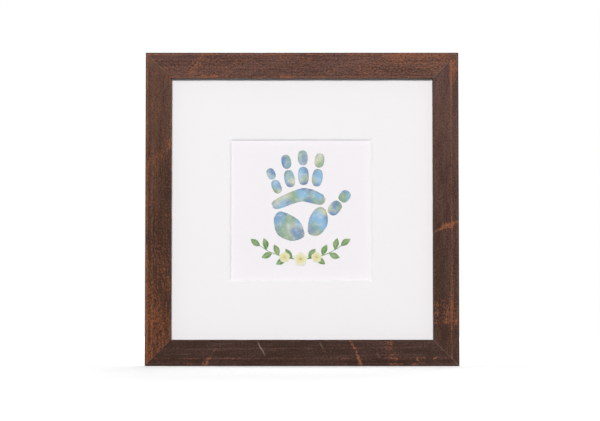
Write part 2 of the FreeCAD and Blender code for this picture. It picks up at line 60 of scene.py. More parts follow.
def low(node):
    """The lowest corner of a CAD node, as an array."""
    return np.array(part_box(node)[0])


def high(node):
    """The highest corner of a CAD node, as an array."""
    return np.array(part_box(node)[1])


half = high("bottom_rail")[0]
rail_width = high("bottom_rail")[2]
front, back = low("bottom_rail")[1], high("bottom_rail")[1]
middle = half
glass_front = low("glass_pane")[1]
mat_front, mat_back = low("mat_board")[1], high("mat_board")[1]
sheet_front = low("art_sheet")[1]
print("half side", half, "rail", rail_width, "front", front, "back", back, "sheet", sheet_front)

# %% [markdown]
# ## The camera
#
# The photograph was taken from almost straight ahead with a long lens, a little below the middle of
# the frame: its upper edge is a little narrower than its lower one. The camera looks slightly up,
# and its aim is a touch left of the middle, which puts the frame where the photograph has it.

# %% Camera
CAMERA_HEIGHT = 43.5 * MM
CAMERA_DISTANCE = 1.45
LENS = 119.7
AIM = Vector((-1.5 * MM, front, middle - 1.35 * MM))

scene = bpy.context.scene


def placed(name, data, location, axis, facing):
    """A camera or lamp at a place, with one of its axes turned to face along a direction."""
    shown = bpy.data.objects.new(name, data)
    shown.location = location
    shown.rotation_mode = "QUATERNION"
    shown.rotation_quaternion = facing.to_track_quat(axis, "Y")
    scene.collection.objects.link(shown)
    return shown


camera_data = bpy.data.cameras.new("camera")
camera_data.lens = LENS
camera_data.sensor_width = 36.0
camera_data.clip_start, camera_data.clip_end = 0.05, 50.0
eye = Vector((0.0, front - CAMERA_DISTANCE, CAMERA_HEIGHT))
camera = placed("camera", camera_data, eye, "-Z", AIM - eye)
scene.camera = camera
print("camera at", tuple(camera.location), "lens", LENS)

# %% [markdown]
# ## Sums of nodes
#
# A material in Blender is a tree of nodes, and even a sum such as 0.5 x grain + 0.2 takes two Math
# nodes and the links between them. A small class writes those for us: it holds the output of a node,
# and a sum or product of such values adds the Math nodes behind it.

# %% Values in a node tree
class Mask:
    """A value that changes over a surface: the output of a node. +, - and * between such values and numbers
    add Math nodes, so a finish can be written as a sum."""

    def __init__(self, socket):
        self.socket, self.tree = socket, socket.id_data

    def math(self, operation, other=0.0, clamp=False):
        """The result of a Math node on this value and another."""
        settings = {"operation": operation, "use_clamp": clamp}
        return node_value(self.tree, "ShaderNodeMath", 0, settings, _0=self, _1=other)

    def __add__(self, other):
        return self.math("ADD", other)

    def __sub__(self, other):
        return self.math("SUBTRACT", other)

    def __mul__(self, other):
        return self.math("MULTIPLY", other)

    def __rsub__(self, other):
        return self * -1.0 + other

    def clamped(self):
        """The value held between 0 and 1."""
        return self.math("ADD", clamp=True)


def fresh_tree(owner):
    """The node tree of a material or a world, emptied."""
    owner.use_nodes = True
    owner.node_tree.nodes.clear()
    return owner.node_tree


def add_node(tree, kind, settings=None, **values):
    """A new node in a tree, with its settings, and values or links for its inputs by name or number."""
    node = tree.nodes.new(kind)
    for name, value in (settings or {}).items():
        setattr(node, name, value)
    for name, value in values.items():
        socket = node.inputs[int(name[1:])] if name[0] == "_" else node.inputs[name.replace("_", " ")]
        value = value.socket if isinstance(value, Mask) else value
        if isinstance(value, bpy.types.NodeSocket):
            tree.links.new(value, socket)
        else:
            socket.default_value = value
    return node


def node_value(tree, kind, output, settings=None, **values):
    """The value that a new node puts out."""
    return Mask(add_node(tree, kind, settings, **values).outputs[output])


def seen_by_camera(tree):
    """1 for what the camera sees directly, mirrored or through glass, 0 for what only lights the scene."""
    rays = add_node(tree, "ShaderNodeLightPath").outputs
    mirrored = Mask(rays["Is Glossy Ray"]).math("MAXIMUM", rays["Is Transmission Ray"])
    return mirrored.math("MAXIMUM", rays["Is Camera Ray"])


print("values ready")

# %% [markdown]
# ## Light, world and floor
#
# The photograph's light comes from straight ahead and a little above, and softly from all round: the
# window's upper bevel is a little darker than its lower one, the lip shades only a thin line of the
# mat, and nothing casts a hard shadow. One lamp in front gives the first part. Mirrored in the pane it
# would veil the mat, so it is left out of reflections. Broad lamps at both sides and behind light the
# edges and the back. The world gives the soft part. Seen by the camera, in a reflection or through
# glass it is pure white, as in the photograph, and for lighting it is a plain grey, at which colours
# render as they are written. The floor is a pale sheet. Its own shading keeps the frame's soft shadow,
# and a little glow, seen directly or mirrored, lifts the rest of it to white. To the light it is a
# darker sheet, so that little comes back from below.

# %% World and lamps
AMBIENT, WHITE = 0.18, (1.0, 1.0, 1.0, 1.0)
# power in watts, size and distance in metres, elevation and azimuth in degrees from straight ahead,
# and whether the lamp is seen in reflections: the key isn't, or the glass would mirror it
LAMPS = {
    "key": (130.0, 0.50, 4.0, 10.0, -4.0, False), "left_fill": (60.0, 1.6, 3.2, 16.0, -112.0, True),
    "right_fill": (60.0, 1.6, 3.2, 16.0, 112.0, True), "back_fill": (40.0, 1.6, 3.2, 34.0, 172.0, True),
}

scene.view_settings.view_transform = "Standard"
world = bpy.data.worlds.new("studio")
scene.world = world
tree = fresh_tree(world)
strength = seen_by_camera(tree) * (1.0 - AMBIENT) + AMBIENT
studio = add_node(tree, "ShaderNodeBackground", Color=WHITE, Strength=strength)
add_node(tree, "ShaderNodeOutputWorld", Surface=studio.outputs[0])

for name, (power, size, distance, elevation, azimuth, mirrored) in LAMPS.items():
    lamp = bpy.data.lights.new(name, "AREA")
    lamp.energy, lamp.shape, lamp.size = power, "DISK", size
    rise, turn = np.radians(elevation), np.radians(azimuth)
    towards = Vector((np.sin(turn) * np.cos(rise), -np.cos(turn) * np.cos(rise), np.sin(rise)))
    shown = placed(name, lamp, Vector((0.0, front, middle)) + towards * distance, "Z", towards)
    shown.visible_glossy = mirrored
    print(name, power, "W at", tuple(round(value, 2) for value in shown.location))

# %% Floor
FLOOR_HALF, FLOOR_DROP = 1.4, 0.1 * MM
FLOOR_GLOW = 0.32
FLOOR_TONES = (0.885, 0.885, 0.885, 1.0), (0.895, 0.895, 0.895, 1.0)
FLOOR_TO_LIGHT = (0.25, 0.25, 0.25, 1.0)


def noise(vector, scale, detail=3.0, roughness=0.55, distortion=0.0):
    """The value of a Noise Texture node, about 0.3 to 0.7 with a middle of 0.5."""
    return node_value(vector.tree, "ShaderNodeTexNoise", "Fac", Vector=vector, Scale=scale, Detail=detail,
                      Roughness=roughness, Distortion=distortion)


def blend(share, first, second):
    """Two colours mixed by a share."""
    colours = {"data_type": "RGBA"}
    return node_value(share.tree, "ShaderNodeMix", "Result", colours, Factor=share, A=first, B=second)


def object_place(tree):
    """The point's own place on the object."""
    return node_value(tree, "ShaderNodeTexCoord", "Object")


floor_mesh = bpy.data.meshes.new("floor")
corners = [(x * FLOOR_HALF, y * FLOOR_HALF, -FLOOR_DROP) for x, y in ((-1, -1), (1, -1), (1, 1), (-1, 1))]
floor_mesh.from_pydata(corners, [], [(0, 1, 2, 3)])
floor = bpy.data.objects.new("floor", floor_mesh)
scene.collection.objects.link(floor)
floor_material = bpy.data.materials.new("pale_floor")
tree = fresh_tree(floor_material)
seen = seen_by_camera(tree)
tone = blend(noise(object_place(tree), 1.3 / (2 * FLOOR_HALF), 2.0, 0.5), *FLOOR_TONES)
matte = add_node(tree, "ShaderNodeBsdfDiffuse", Color=blend(seen, FLOOR_TO_LIGHT, tone))
glow = add_node(tree, "ShaderNodeEmission", Color=WHITE, Strength=seen * FLOOR_GLOW)
both = add_node(tree, "ShaderNodeAddShader", _0=matte.outputs[0], _1=glow.outputs[0])
add_node(tree, "ShaderNodeOutputMaterial", Surface=both.outputs[0])
floor_mesh.materials.append(floor_material)
print("floor of", FLOOR_HALF * 2, "m")

# %% [markdown]
# ## Shared effects
#
# Several finishes need the same few effects, so each effect is a node group that is built once and
# placed in each material with its own values: streaks along a direction for wood and brushed metal,
# fibres for paper and board, and handling marks for everything that fingers touch. A group puts out
# only masks from 0 to 1. Each material turns them into colour, roughness and bump itself.


# %% A helper for node groups
def new_group(name, **inputs):
    """An empty node group, and its inputs as masks. None makes a vector, and a number is a default."""
    group = bpy.data.node_groups.new(name, "ShaderNodeTree")
    for label, default in inputs.items():
        kind = "NodeSocketVector" if default is None else "NodeSocketFloat"
        socket = group.interface.new_socket(name=label, in_out="INPUT", socket_type=kind)
        if default is not None:
            socket.default_value = default
    given = add_node(group, "NodeGroupInput").outputs
    return group, *(Mask(given[label]) for label in inputs)


def puts_out(group, **masks):
    """Gives a node group its outputs, each fed by a mask."""
    for label in masks:
        group.interface.new_socket(name=label, in_out="OUTPUT", socket_type="NodeSocketFloat")
    add_node(group, "NodeGroupOutput", **masks)
    print("group", group.name, "puts out", list(masks))


def spread(value, start, end, low_value=0.0, high_value=1.0):
    """A value mapped smoothly from one range to another, and held at its ends."""
    return node_value(value.tree, "ShaderNodeMapRange", "Result", {"interpolation_type": "SMOOTHSTEP"},
                      Value=value, _1=start, _2=end, _3=low_value, _4=high_value)


def scaled_vector(vector, x, y, z):
    """A vector with each part multiplied by its own number or mask."""
    parts = add_node(vector.tree, "ShaderNodeSeparateXYZ", Vector=vector).outputs
    across, deep, up = (Mask(part) * factor for part, factor in zip(parts, (x, y, z)))
    return node_value(vector.tree, "ShaderNodeCombineXYZ", 0, _0=across, _1=deep, _2=up)


print("helpers ready")

# %% The streaks group
streaks, place, along, across = new_group("streaks", Vector=None, Along=100.0, Across=1000.0)
stretched = scaled_vector(place, along, across, across)
finer = scaled_vector(stretched, 6.5, 1.25, 1.25)
puts_out(streaks, Streak=spread(noise(stretched, 1.0, 5.0, 0.6, 0.3), 0.3, 0.7),
         Speckle=spread(noise(finer, 1.0, 3.0, 0.7), 0.32, 0.68))

# %% The fibres group
fibres, place, density = new_group("fibres", Vector=None, Density=900.0)
strands = []
for turn, start in ((0.3, 0.0), (1.35, 3.1), (2.4, 7.7)):
    rotated = node_value(fibres, "ShaderNodeVectorRotate", 0, {"rotation_type": "Y_AXIS"}, Vector=place,
                         Angle=turn)
    strand = node_value(
        fibres, "ShaderNodeTexNoise", "Fac", {"noise_dimensions": "4D"}, W=start, Scale=1.0, Detail=2.0,
        Roughness=0.6, Distortion=0.8, Vector=scaled_vector(rotated, density * 0.2, density, density),
    )
    strands.append(spread((strand - 0.5).math("ABSOLUTE"), 0.0, 0.06, 1.0, 0.0))
felt = strands[0].math("MAXIMUM", strands[1]).math("MAXIMUM", strands[2])
pulp = spread(noise(place, density, 4.0, 0.65), 0.3, 0.7)
flecks = node_value(fibres, "ShaderNodeTexVoronoi", "Distance", Vector=place, Scale=density * 0.5)
puts_out(fibres, Fibre=felt * 0.45 + pulp * 0.55, Fleck=spread(flecks, 0.0, 0.28, 1.0, 0.0))

# %% The handling group
handling, place, size = new_group("handling", Vector=None, Size=40.0)
patches = noise(place, size, 4.0, 0.6)
rotated = node_value(handling, "ShaderNodeVectorRotate", 0, {"rotation_type": "EULER_XYZ"}, Vector=place,
                     Rotation=(0.5, 0.7, 0.4))
hairs = noise(scaled_vector(rotated, 60.0, 2600.0, 900.0), 1.0, 2.0, 0.5)
cells = add_node(handling, "ShaderNodeTexVoronoi", Vector=place, Scale=140.0).outputs
chosen = spread(node_value(handling, "ShaderNodeSeparateColor", 0, Color=cells["Color"]), 0.72, 0.74)
near = spread(Mask(cells["Distance"]), 0.02, 0.07, 1.0, 0.0)
puts_out(handling, Smudge=spread(patches, 0.42, 0.66), Scratch=spread(hairs, 0.66, 0.72), Speck=chosen * near)

# %% [markdown]
# ## How the finishes are put together
#
# Each material is a Principled shader with its own colour mix, a roughness that follows one mask and
# a bump that follows another. One function makes that skeleton and another connects it, so each
# finish below says only what is special about it.


# %% The skeleton of a material
def srgb(red, green, blue):
    """A colour written from 0 to 255, as the linear colour that the shaders use: a power curve near 2.4."""
    share = np.array((red, green, blue)) / 255.0
    linear = np.where(share <= 0.04045, share / 12.92, ((share + 0.055) / 1.055) ** 2.4)
    return (*linear.tolist(), 1.0)


def new_material(name, **settings):
    """A material with one Principled shader, and its tree. settings are that shader's sockets by name."""
    material = bpy.data.materials.new(name)
    tree = fresh_tree(material)
    shader = add_node(tree, "ShaderNodeBsdfPrincipled", {"name": "shader"}, **settings)
    add_node(tree, "ShaderNodeOutputMaterial", {"name": "output"}, Surface=shader.outputs[0])
    return material, tree


def place_group(group, place, **values):
    """The masks of a shared group that is placed in a material, by name."""
    node = add_node(place.tree, "ShaderNodeGroup", {"node_tree": group}, Vector=place, **values)
    return {output.name: Mask(output) for output in node.outputs}


def attribute(tree, name, output="Fac"):
    """A value or a colour that the piece's own points carry."""
    return node_value(tree, "ShaderNodeAttribute", output, {"attribute_name": name})


def connect(tree, colour, roughness, height, depth, strength=0.6):
    """Feeds the shader its colour, its roughness where that isn't None, and a bump of a depth in metres."""
    bump = node_value(tree, "ShaderNodeBump", 0, Height=height, Distance=depth, Strength=strength)
    for label, value in (("Base Color", colour), ("Roughness", roughness), ("Normal", bump)):
        if value is not None:
            tree.links.new(value.socket, tree.nodes["shader"].inputs[label])


print("skeleton ready")

# %% [markdown]
# ## The stained rails
#
# The rails are one moulding, cut at 45 degrees: a narrow outer bevel, a soft ridge, a flat face and a
# lip over the glass. The stain is rough and uneven. The upper and left rails show short orange-brown
# dashes along the grain, the right and lower rails are darker and smoother with a rubbed ridge line,
# and each has its own streaks and knocks. Painted light is laid into the stain too. The frame is paler
# towards the top and darker towards the bottom, partly the stain's own unevenness and partly painted
# light from above. The lip's inner face is painted dark as its shade, and a dark rim of painted shade
# runs along the rounded outer edge. A boolean or a bevelled box would give the shape but not those
# small dents, so the profile is carried along each rail as one grid of points.


# %% Helpers for outlines
def rounded_outline(corners, radii, steps=5):
    """An outline through corners, each replaced by an arc: from one tangent point to the other round a
    centre that lies on the corner's bisector."""
    arcs = []
    for corner, before, after, radius in zip(corners, np.roll(corners, 1, 0), np.roll(corners, -1, 0), radii):
        to_before = (before - corner) / np.linalg.norm(before - corner)
        to_after = (after - corner) / np.linalg.norm(after - corner)
        half_angle = np.arccos(np.clip(to_before @ to_after, -1, 1)) / 2
        bisector = (to_before + to_after) / np.linalg.norm(to_before + to_after)
        centre = corner + bisector * radius / np.sin(half_angle)
        spokes = [corner + to * radius / np.tan(half_angle) - centre for to in (to_before, to_after)]
        start, end = (np.arctan2(spoke[1], spoke[0]) for spoke in spokes)
        turn = (end - start + np.pi) % (2 * np.pi) - np.pi
        angles = start + turn * np.linspace(0, 1, steps + 1)
        arcs.append(centre + radius * np.stack([np.cos(angles), np.sin(angles)], axis=-1))
    return np.vstack(arcs)


def divided(outline, spacings):
    """An outline with points added on its long sides. spacings gives the largest step from each point on."""
    pieces = []
    for point, following, spacing in zip(outline, np.roll(outline, -1, 0), spacings):
        count = max(1, int(np.ceil(np.linalg.norm(following - point) / spacing)))
        pieces.append(point + (following - point) * (np.arange(count) / count)[:, None])
    return np.vstack(pieces)


print("outline helpers ready")

# %% The moulding's outline
BEVEL_WIDTH, BEVEL_DROP = 6.1 * MM, 1.0 * MM
GLASS_PLAY, REAR_GAP = 0.8 * MM, 0.03 * MM
shoulder = half - high("glass_pane")[0] - GLASS_PLAY
rear = back - REAR_GAP
outline_corners = np.array((
    (shoulder, glass_front), (shoulder, rear), (0.0, rear), (0.0, front + BEVEL_DROP), (BEVEL_WIDTH, front),
    (rail_width, front), (rail_width, glass_front - 0.02 * MM),
))
profile = rounded_outline(outline_corners, np.array((0.2, 0.5, 0.5, 0.9, 2.5, 0.7, 0.15)) * MM)
at_front = profile[:, 1] < front + 1.6 * MM
profile = divided(profile, np.where(at_front, 0.5 * MM, 2.5 * MM))
around = np.concatenate([[0.0], np.cumsum(np.linalg.norm(np.diff(profile, axis=0), axis=1))])
print("outline points:", len(profile), "girth:", round(around[-1] / MM, 1), "mm")


# %% Bell curves and smooth random fields
def bell(value, centre, width):
    """1 at the centre and less on both sides: e to the power of minus the squared distance in widths."""
    return np.exp(-((value - centre) / width) ** 2)


def drift(coordinates, size, seed, waves=8):
    """Smooth random values, mostly from -1 to 1: a sum of plane waves, whose directions, lengths and
    starts are drawn from a seeded generator."""
    draw = np.random.default_rng(seed)
    total = 0.0
    for _ in range(waves):
        direction = draw.normal(size=len(coordinates))
        direction /= np.linalg.norm(direction) * size * draw.uniform(0.6, 1.7)
        phase = draw.uniform(0, 2 * np.pi)
        total = total + np.sin(2 * np.pi * sum(d * c for d, c in zip(direction, coordinates)) + phase)
    return total / np.sqrt(waves)


def near_path(along, across, path, seed, wobble=1.0):
    """How much a mark covers each place on a rail. Its path is a chain of straight parts, each point with a
    width and a strength. The mark fades beside the chain as a bell curve does, and it meanders by a few
    tenths of a millimetre."""
    along, across = (along + 0.3 * wobble * drift((across,), 3.0, seed),
                     across + 0.2 * wobble * drift((along,), 3.0, seed + 1))
    cover = np.zeros_like(along)
    for begin, end in zip(np.array(path), np.array(path)[1:]):
        step = (end - begin)[:2]
        share = np.clip(((along - begin[0]) * step[0] + (across - begin[1]) * step[1]) / (step @ step), 0, 1)
        gap = np.hypot(along - begin[0] - share * step[0], across - begin[1] - share * step[1])
        width, strength = (begin[part] + share * (end - begin)[part] for part in (2, 3))
        cover = np.maximum(cover, strength * bell(gap, 0, width))
    return cover * np.clip(0.92 + 0.2 * drift((along, across), 3.5, seed + 3), 0.4, 1.2)


print("drift at 0:", round(float(drift((np.zeros(1),), 1.0, 1)[0]), 3))

# %% [markdown]
# Four values describe the colour at each point: how pale the stain is, how much of the orange wood
# shows through it, how deep it is scraped, and where the dark rim runs along the rounded outer edge,
# which is painted shade where that edge turns away from the light. The orange shows beside the edges
# and on the ridge, which hands rub, and in the streaks and blotches of the second table. A mark is a
# path of a few points, in millimetres from the rail's middle and its outer side. Three more values
# change slowly from one end of a rail to the other: how rough the stain's speckle is, how strong the
# long grain, and how warm the colours are.

# %% Stain and marks of each rail
# turn: degrees from the lower rail. seed: what starts its random draws. edges: rubbing beside the outer
# edge, on the ridge and at the sight edge. The others are values at even steps along the rail. pale is
# highest on the upper rail and the upper ends of the side rails, and lowest towards the bottom: partly
# the stain's own unevenness, partly painted light from above.
RAILS = {
    "bottom_rail": {
        "turn": 0, "seed": 11, "edges": (0.22, 0.34, 0.05), "pale": (0.06, 0.10), "orange": (0.04, 0.06),
        "contrast": (0.80,), "long_grain": (0.32,), "warm": (0.0,)},
    "left_rail": {
        "turn": 90, "seed": 12, "edges": (0.50, 0.12, 0.14), "pale": (0.75, 0.25, 0.03, -0.26),
        "orange": (0.19, 0.36), "contrast": (0.78, 0.60), "long_grain": (0.12,), "warm": (0.5, 0.9)},
    "top_rail": {
        "turn": 180, "seed": 13, "edges": (0.30, 0.06, 0.24), "pale": (0.47, 0.50, 0.52, 0.48),
        "orange": (0.34, 0.28), "contrast": (1.05, 0.98), "long_grain": (0.28,), "warm": (0.0, 0.1)},
    "right_rail": {
        "turn": -90, "seed": 14, "edges": (0.16, 0.38, 0.12), "pale": (0.16, 0.12, 0.40, 0.54),
        "orange": (0.07, 0.08), "contrast": (1.00, 0.74), "long_grain": (0.14,), "warm": (0.6, 0.0)},
}
ALONG_RAIL = ("pale", "orange", "contrast", "long_grain", "warm")
# the ridge's place across a rail, in millimetres from its outer side
RIDGE = 5.5
# the points of each mark: along and across the rail, width and strength
MARKS = {
    "bottom_rail": (
        ((-62.4, 18.2, 0.5, 0.15), (-63.8, 11.5, 0.9, 0.30), (-66.1, 7.3, 0.8, 0.34), (-68.5, 4.7, 0.9, 0.85),
         (-69.9, 0.6, 1.0, 0.75)),
        ((-70.5, 4.2, 0.5, 0.40), (-72.4, 1.2, 0.7, 0.50)),
        ((34.6, 18.4, 0.8, 0.40), (36.9, 15.0, 0.9, 0.64), (39.4, 10.3, 0.7, 0.50), (40.9, 5.5, 1.2, 0.85),
         (42.9, 0.4, 1.2, 0.70)),
        ((62.8, 17.5, 3.4, 0.38), (63.5, 11.0, 3.2, 0.36), (66.0, 6.0, 5.0, 0.44), (67.0, 1.0, 5.5, 0.36)),
        ((103.3, 11.8, 0.5, 0.45), (99.8, 9.0, 0.6, 0.35)),
        ((95.6, 14.2, 0.5, 0.34), (96.3, 11.8, 0.6, 0.40), (92.1, 9.4, 0.5, 0.32), (89.8, 8.0, 0.6, 0.28)),
        ((97.2, 6.4, 0.7, 0.85), (95.8, 5.2, 0.7, 0.80)),
        ((89.6, 6.4, 0.6, 0.50), (83.2, 5.8, 0.7, 0.44)),
        ((83.4, 4.6, 0.5, 0.55), (85.6, 2.8, 0.6, 0.45)),
        ((89.2, 3.2, 0.6, 0.50), (88.2, 2.0, 0.6, 0.45)),
        ((80.5, 0.8, 0.6, 0.75), (83.5, 1.6, 0.6, 0.65)),
        ((-52.9, 13.9, 0.45, 0.42), (-51.6, 13.8, 0.45, 0.42)),
        ((-9.8, 14.8, 0.5, 0.34), (-6.2, 14.6, 0.5, 0.34)),
        ((-21.6, 12.9, 0.6, 0.30), (-16.5, 12.7, 0.6, 0.30)),
        ((-13.6, 12.0, 0.5, 0.32), (-10.8, 12.0, 0.5, 0.32)),
        ((17.3, 13.7, 0.6, 0.34), (21.7, 13.5, 0.6, 0.34)),
        ((14.0, 10.5, 0.5, 0.30), (17.8, 10.4, 0.5, 0.30)),
    ),
    "right_rail": (
        ((-18.6, 18.4, 0.6, 0.35), (-15.6, 16.4, 0.9, 0.60), (-15.0, 13.3, 1.1, 0.85),
         (-12.9, 11.6, 1.7, 0.95), (-12.2, 6.3, 1.9, 0.95), (-10.4, 3.5, 1.3, 0.80), (-8.3, 0.2, 0.9, 0.60)),
        ((-64.0, 9.0, 6.0, 0.14), (-71.0, 8.5, 7.5, 0.42), (-78.0, 8.5, 6.5, 0.46)),
        ((-68.0, 17.2, 1.2, 0.34), (-83.4, 16.8, 1.2, 0.42)),
        ((-81.5, 3.0, 1.8, 0.40), (-83.6, 2.5, 1.4, 0.40)),
        ((-82.4, 10.5, 1.2, 0.40), (-82.8, 8.0, 1.2, 0.40)),
        ((112.0, 2.6, 2.0, 0.42), (106.0, 3.4, 3.2, 0.68), (97.0, 3.4, 2.9, 0.54), (91.0, 4.0, 2.0, 0.18)),
        ((101.0, 13.6, 0.5, 0.45), (96.0, 13.5, 0.5, 0.20)),
        ((108.0, 5.7, 0.7, 0.40), (98.0, 5.6, 0.6, 0.36), (78.0, 5.5, 0.5, 0.20)),
        ((18.0, 4.5, 0.5, 0.25), (28.0, 7.0, 0.5, 0.20)),
    ),
    "left_rail": (
        ((40.0, 10.0, 11.0, 0.05), (75.0, 10.0, 12.0, 0.16), (108.0, 10.0, 12.0, 0.20)),
        ((-50.0, 17.6, 1.2, 0.40), (-44.0, 17.8, 1.2, 0.40)),
        ((-40.0, 12.0, 4.0, 0.16), (-34.0, 2.0, 4.0, 0.18)),
    ),
    "top_rail": (
        ((62.0, 17.3, 0.8, 0.60), (73.0, 17.4, 0.8, 0.55)),
        ((9.0, 17.4, 1.2, 0.45), (16.0, 17.8, 1.2, 0.45)),
        ((73.0, 2.0, 3.0, 0.24), (80.0, 14.0, 3.0, 0.24)),
        ((-96.0, 8.0, 6.0, 0.13), (-70.0, 5.0, 6.0, 0.20)),
        ((-104.0, 2.5, 2.0, 0.22), (-60.0, 2.2, 1.8, 0.26)),
    ),
}
SCRATCHES = {
    "bottom_rail": (
        ((-32.2, 17.8, 0.3, 0.45), (-30.5, 13.9, 0.34, 0.95), (-28.5, 11.1, 0.34, 0.9),
         (-27.0, 7.8, 0.3, 0.5)),
        ((13.2, 16.4, 0.4, 0.30), (15.2, 12.5, 0.4, 0.30)),
        ((54.3, 9.3, 0.4, 0.32), (56.3, 6.4, 0.4, 0.32)),
    ),
}
# the joint's pale hairline at the low and the high end of each rail: strength, and from where to where across
HAIRLINES = {
    "bottom_rail": ((0.0, 0.0, 1.0), (0.32, 0.0, 1.1)), "left_rail": ((0.14, 0.15, 0.7), (0.22, 0.1, 0.9)),
    "top_rail": ((0.42, 0.35, 1.1), (0.42, 0.15, 0.7)), "right_rail": ((0.14, 0.0, 1.1), (0.22, 0.35, 1.1)),
}
print("marks:", {name: len(marks) for name, marks in MARKS.items()})


# %% The stain's fields
def stain_fields(name, along, across):
    """The colour at each point of a rail: how pale the stain is, how much orange and how much pale scratch
    shows, where the dark rim of painted shade lies on the rounded outer edge, and its speckle, long grain
    and warmth."""
    rail, width = RAILS[name], rail_width / MM
    (outer, ridge, sight), seed = rail["edges"], rail["seed"]
    place, level = (along, across * 4), across / width
    wander = 0.5 + 0.5 * drift((along,), 30.0, seed)
    share = np.clip(along * MM / half / 2 + 0.5, 0, 1)
    fields = {key: np.interp(share, np.linspace(0, 1, len(rail[key])), rail[key]) for key in ALONG_RAIL}
    orange = fields["orange"] + 0.05 * drift(place, 60.0, seed + 20)
    orange += outer * bell(across, 1.3, 0.6) * (0.5 + 0.8 * wander)
    orange += ridge * bell(across, RIDGE, 0.6) * (0.7 + 0.5 * wander)
    orange += sight * bell(across, width - 0.9, 0.6) * (0.3 + 0.9 * wander)
    # the dark rim: painted shade on the rounded outer edge, where it turns away from the light
    rim = bell(across, 0.2, 0.5)
    orange = orange * (1 - 0.8 * rim) + outer * rim * np.clip(drift((along,), 5.0, seed + 30), 0, 1)
    for number, mark in enumerate(MARKS[name]):
        orange += near_path(along, across, mark, 400 + 4 * number)
    scratch = np.zeros_like(along)
    for number, mark in enumerate(SCRATCHES.get(name, ())):
        scratch += near_path(along, across, mark, 500 + 4 * number, 0.2)
    to_mitre = half / MM - across - np.abs(along)
    for side, (strength, start, stop) in zip((-1, 1), HAIRLINES[name]):
        shown = np.clip((level - start) * 6 + 0.5, 0, 1) * np.clip((stop - level) * 6 + 0.5, 0, 1)
        scratch += strength * shown * (along * side > 0) * bell(to_mitre, 0.2, 0.25)
    pale = fields["pale"] + 0.22 * bell(across, 1.4, 0.5) + 0.5 * ridge * bell(across, RIDGE, 0.9)
    pale += 0.06 * drift(place, 90.0, seed + 40) + 0.05 * drift(place, 17.0, seed + 60)
    orange, scratch = np.clip(orange, 0, 1), np.clip(scratch, 0, 1)
    return {**fields, "pale": pale, "orange": orange, "scratch": scratch, "rim": rim}


print("stain fields ready")


# %% Small dents
def dents(name, along, across, count=26):
    """How deep small knocks go, in metres: round dimples, most of them near the ridge and the outer edge."""
    draw = np.random.default_rng(RAILS[name]["seed"] + 80)
    favoured = (0.4, BEVEL_WIDTH / MM, rail_width / MM - 0.5, 12.0)
    depth = np.zeros_like(along)
    for _ in range(count):
        at_along, at_across = draw.uniform(-108, 108), draw.choice(favoured) + draw.normal() * 0.7
        size, deep = draw.uniform(0.8, 1.9), draw.uniform(0.02, 0.09) * MM
        stretch = (along - at_along) ** 2 / (size * 1.8) ** 2 + (across - at_across) ** 2 / size ** 2
        depth += deep * np.exp(-stretch)
    return depth


print("dents ready")


# %% [markdown]
# A rail's grid has a row for each place along it and a column for each point of the outline. A row
# scales with the distance that is left inside the mitre, so both ends come out at 45 degrees. The
# points then sink a little into the wood: in slow waves, at the dents, and in a fine groove beside
# each mitre, which draws the joint's hairline. A flat face closes each end.


# %% From arrays to a piece
def grid_quads(rows, columns):
    """The corner numbers of a grid's quads, where the last column joins the first."""
    index = np.arange(rows * columns).reshape(rows, columns)
    index = np.hstack([index, index[:, :1]])
    return np.stack([index[:-1, :-1], index[:-1, 1:], index[1:, 1:], index[1:, :-1]], axis=-1).reshape(-1, 4)


def volume(points, faces):
    """The volume inside closed faces: a sixth of the sum of triple products over their triangles. It is
    negative where the faces point inwards."""
    total = 0.0
    for count in {len(face) for face in faces}:
        corners = points[np.array([face for face in faces if len(face) == count])]
        crossed = np.cross(corners[:, 1:-1], corners[:, 2:])
        total += np.einsum("ik,ijk->", corners[:, 0], crossed) / 6
    return total


def new_piece(name, points, faces, material, body, slot, replaces=(), uv=None, fields=None, flat=0):
    """A piece of the object from arrays. fields are values for each point, colours where they have four
    parts. flat is how many faces at the end of the list aren't smooth."""
    if volume(points, faces) < 0:
        faces = [face[::-1] for face in faces]
    mesh = bpy.data.meshes.new(name)
    mesh.from_pydata(points.tolist(), [], faces)
    smooth = np.ones(len(faces), bool)
    smooth[len(faces) - flat:] = False
    mesh.polygons.foreach_set("use_smooth", smooth)
    if uv is not None:
        corners = np.zeros(len(mesh.loops), np.int32)
        mesh.loops.foreach_get("vertex_index", corners)
        mesh.uv_layers.new(name="surface").data.foreach_set("uv", uv[corners].astype(np.float32).ravel())
    for label, values in (fields or {}).items():
        kind, key = ("FLOAT_COLOR", "color") if values.ndim == 2 else ("FLOAT", "value")
        mesh.attributes.new(label, kind, "POINT").data.foreach_set(key, values.astype(np.float32).ravel())
    mesh.materials.append(material)
    mesh.validate()
    piece = bpy.data.objects.new(name, mesh)
    scene.collection.objects.link(piece)
    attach(piece, body)
    if replaces:
        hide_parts(*replaces)
    print(f"{name}: {len(points)} points, {len(faces)} faces, {volume(points, faces) * 1e9:.1f} mm3")
    return piece


print("piece maker ready")

# %% Stained wood
UMBER, PORE, RIM_SHADE, SCRAPED = srgb(56, 38, 31), srgb(40, 28, 24), srgb(52, 24, 17), srgb(160, 138, 124)
DUSTY, WARM = srgb(109, 81, 75), srgb(113, 79, 58)
ORANGE, RUSTY = srgb(145, 93, 68), srgb(143, 86, 54)
stained_wood, tree = new_material("brown_stain", Specular_IOR_Level=0.16)
surface = node_value(tree, "ShaderNodeUVMap", 0, {"uv_map": "surface"})
stain = {label: attribute(tree, label) for label in (*ALONG_RAIL, "scratch", "rim", "planed")}
grain, dashes, mottle, rings, bands = (
    place_group(streaks, surface, Along=along, Across=across)
    for along, across in ((115.0, 820.0), (82.0, 660.0), (26.0, 170.0), (7.0, 760.0), (5.0, 210.0))
)
marks = place_group(handling, surface, Size=24.0)
long_lines = (rings["Streak"] - 0.5) * stain["long_grain"]
speckle = stain["contrast"] * 0.62
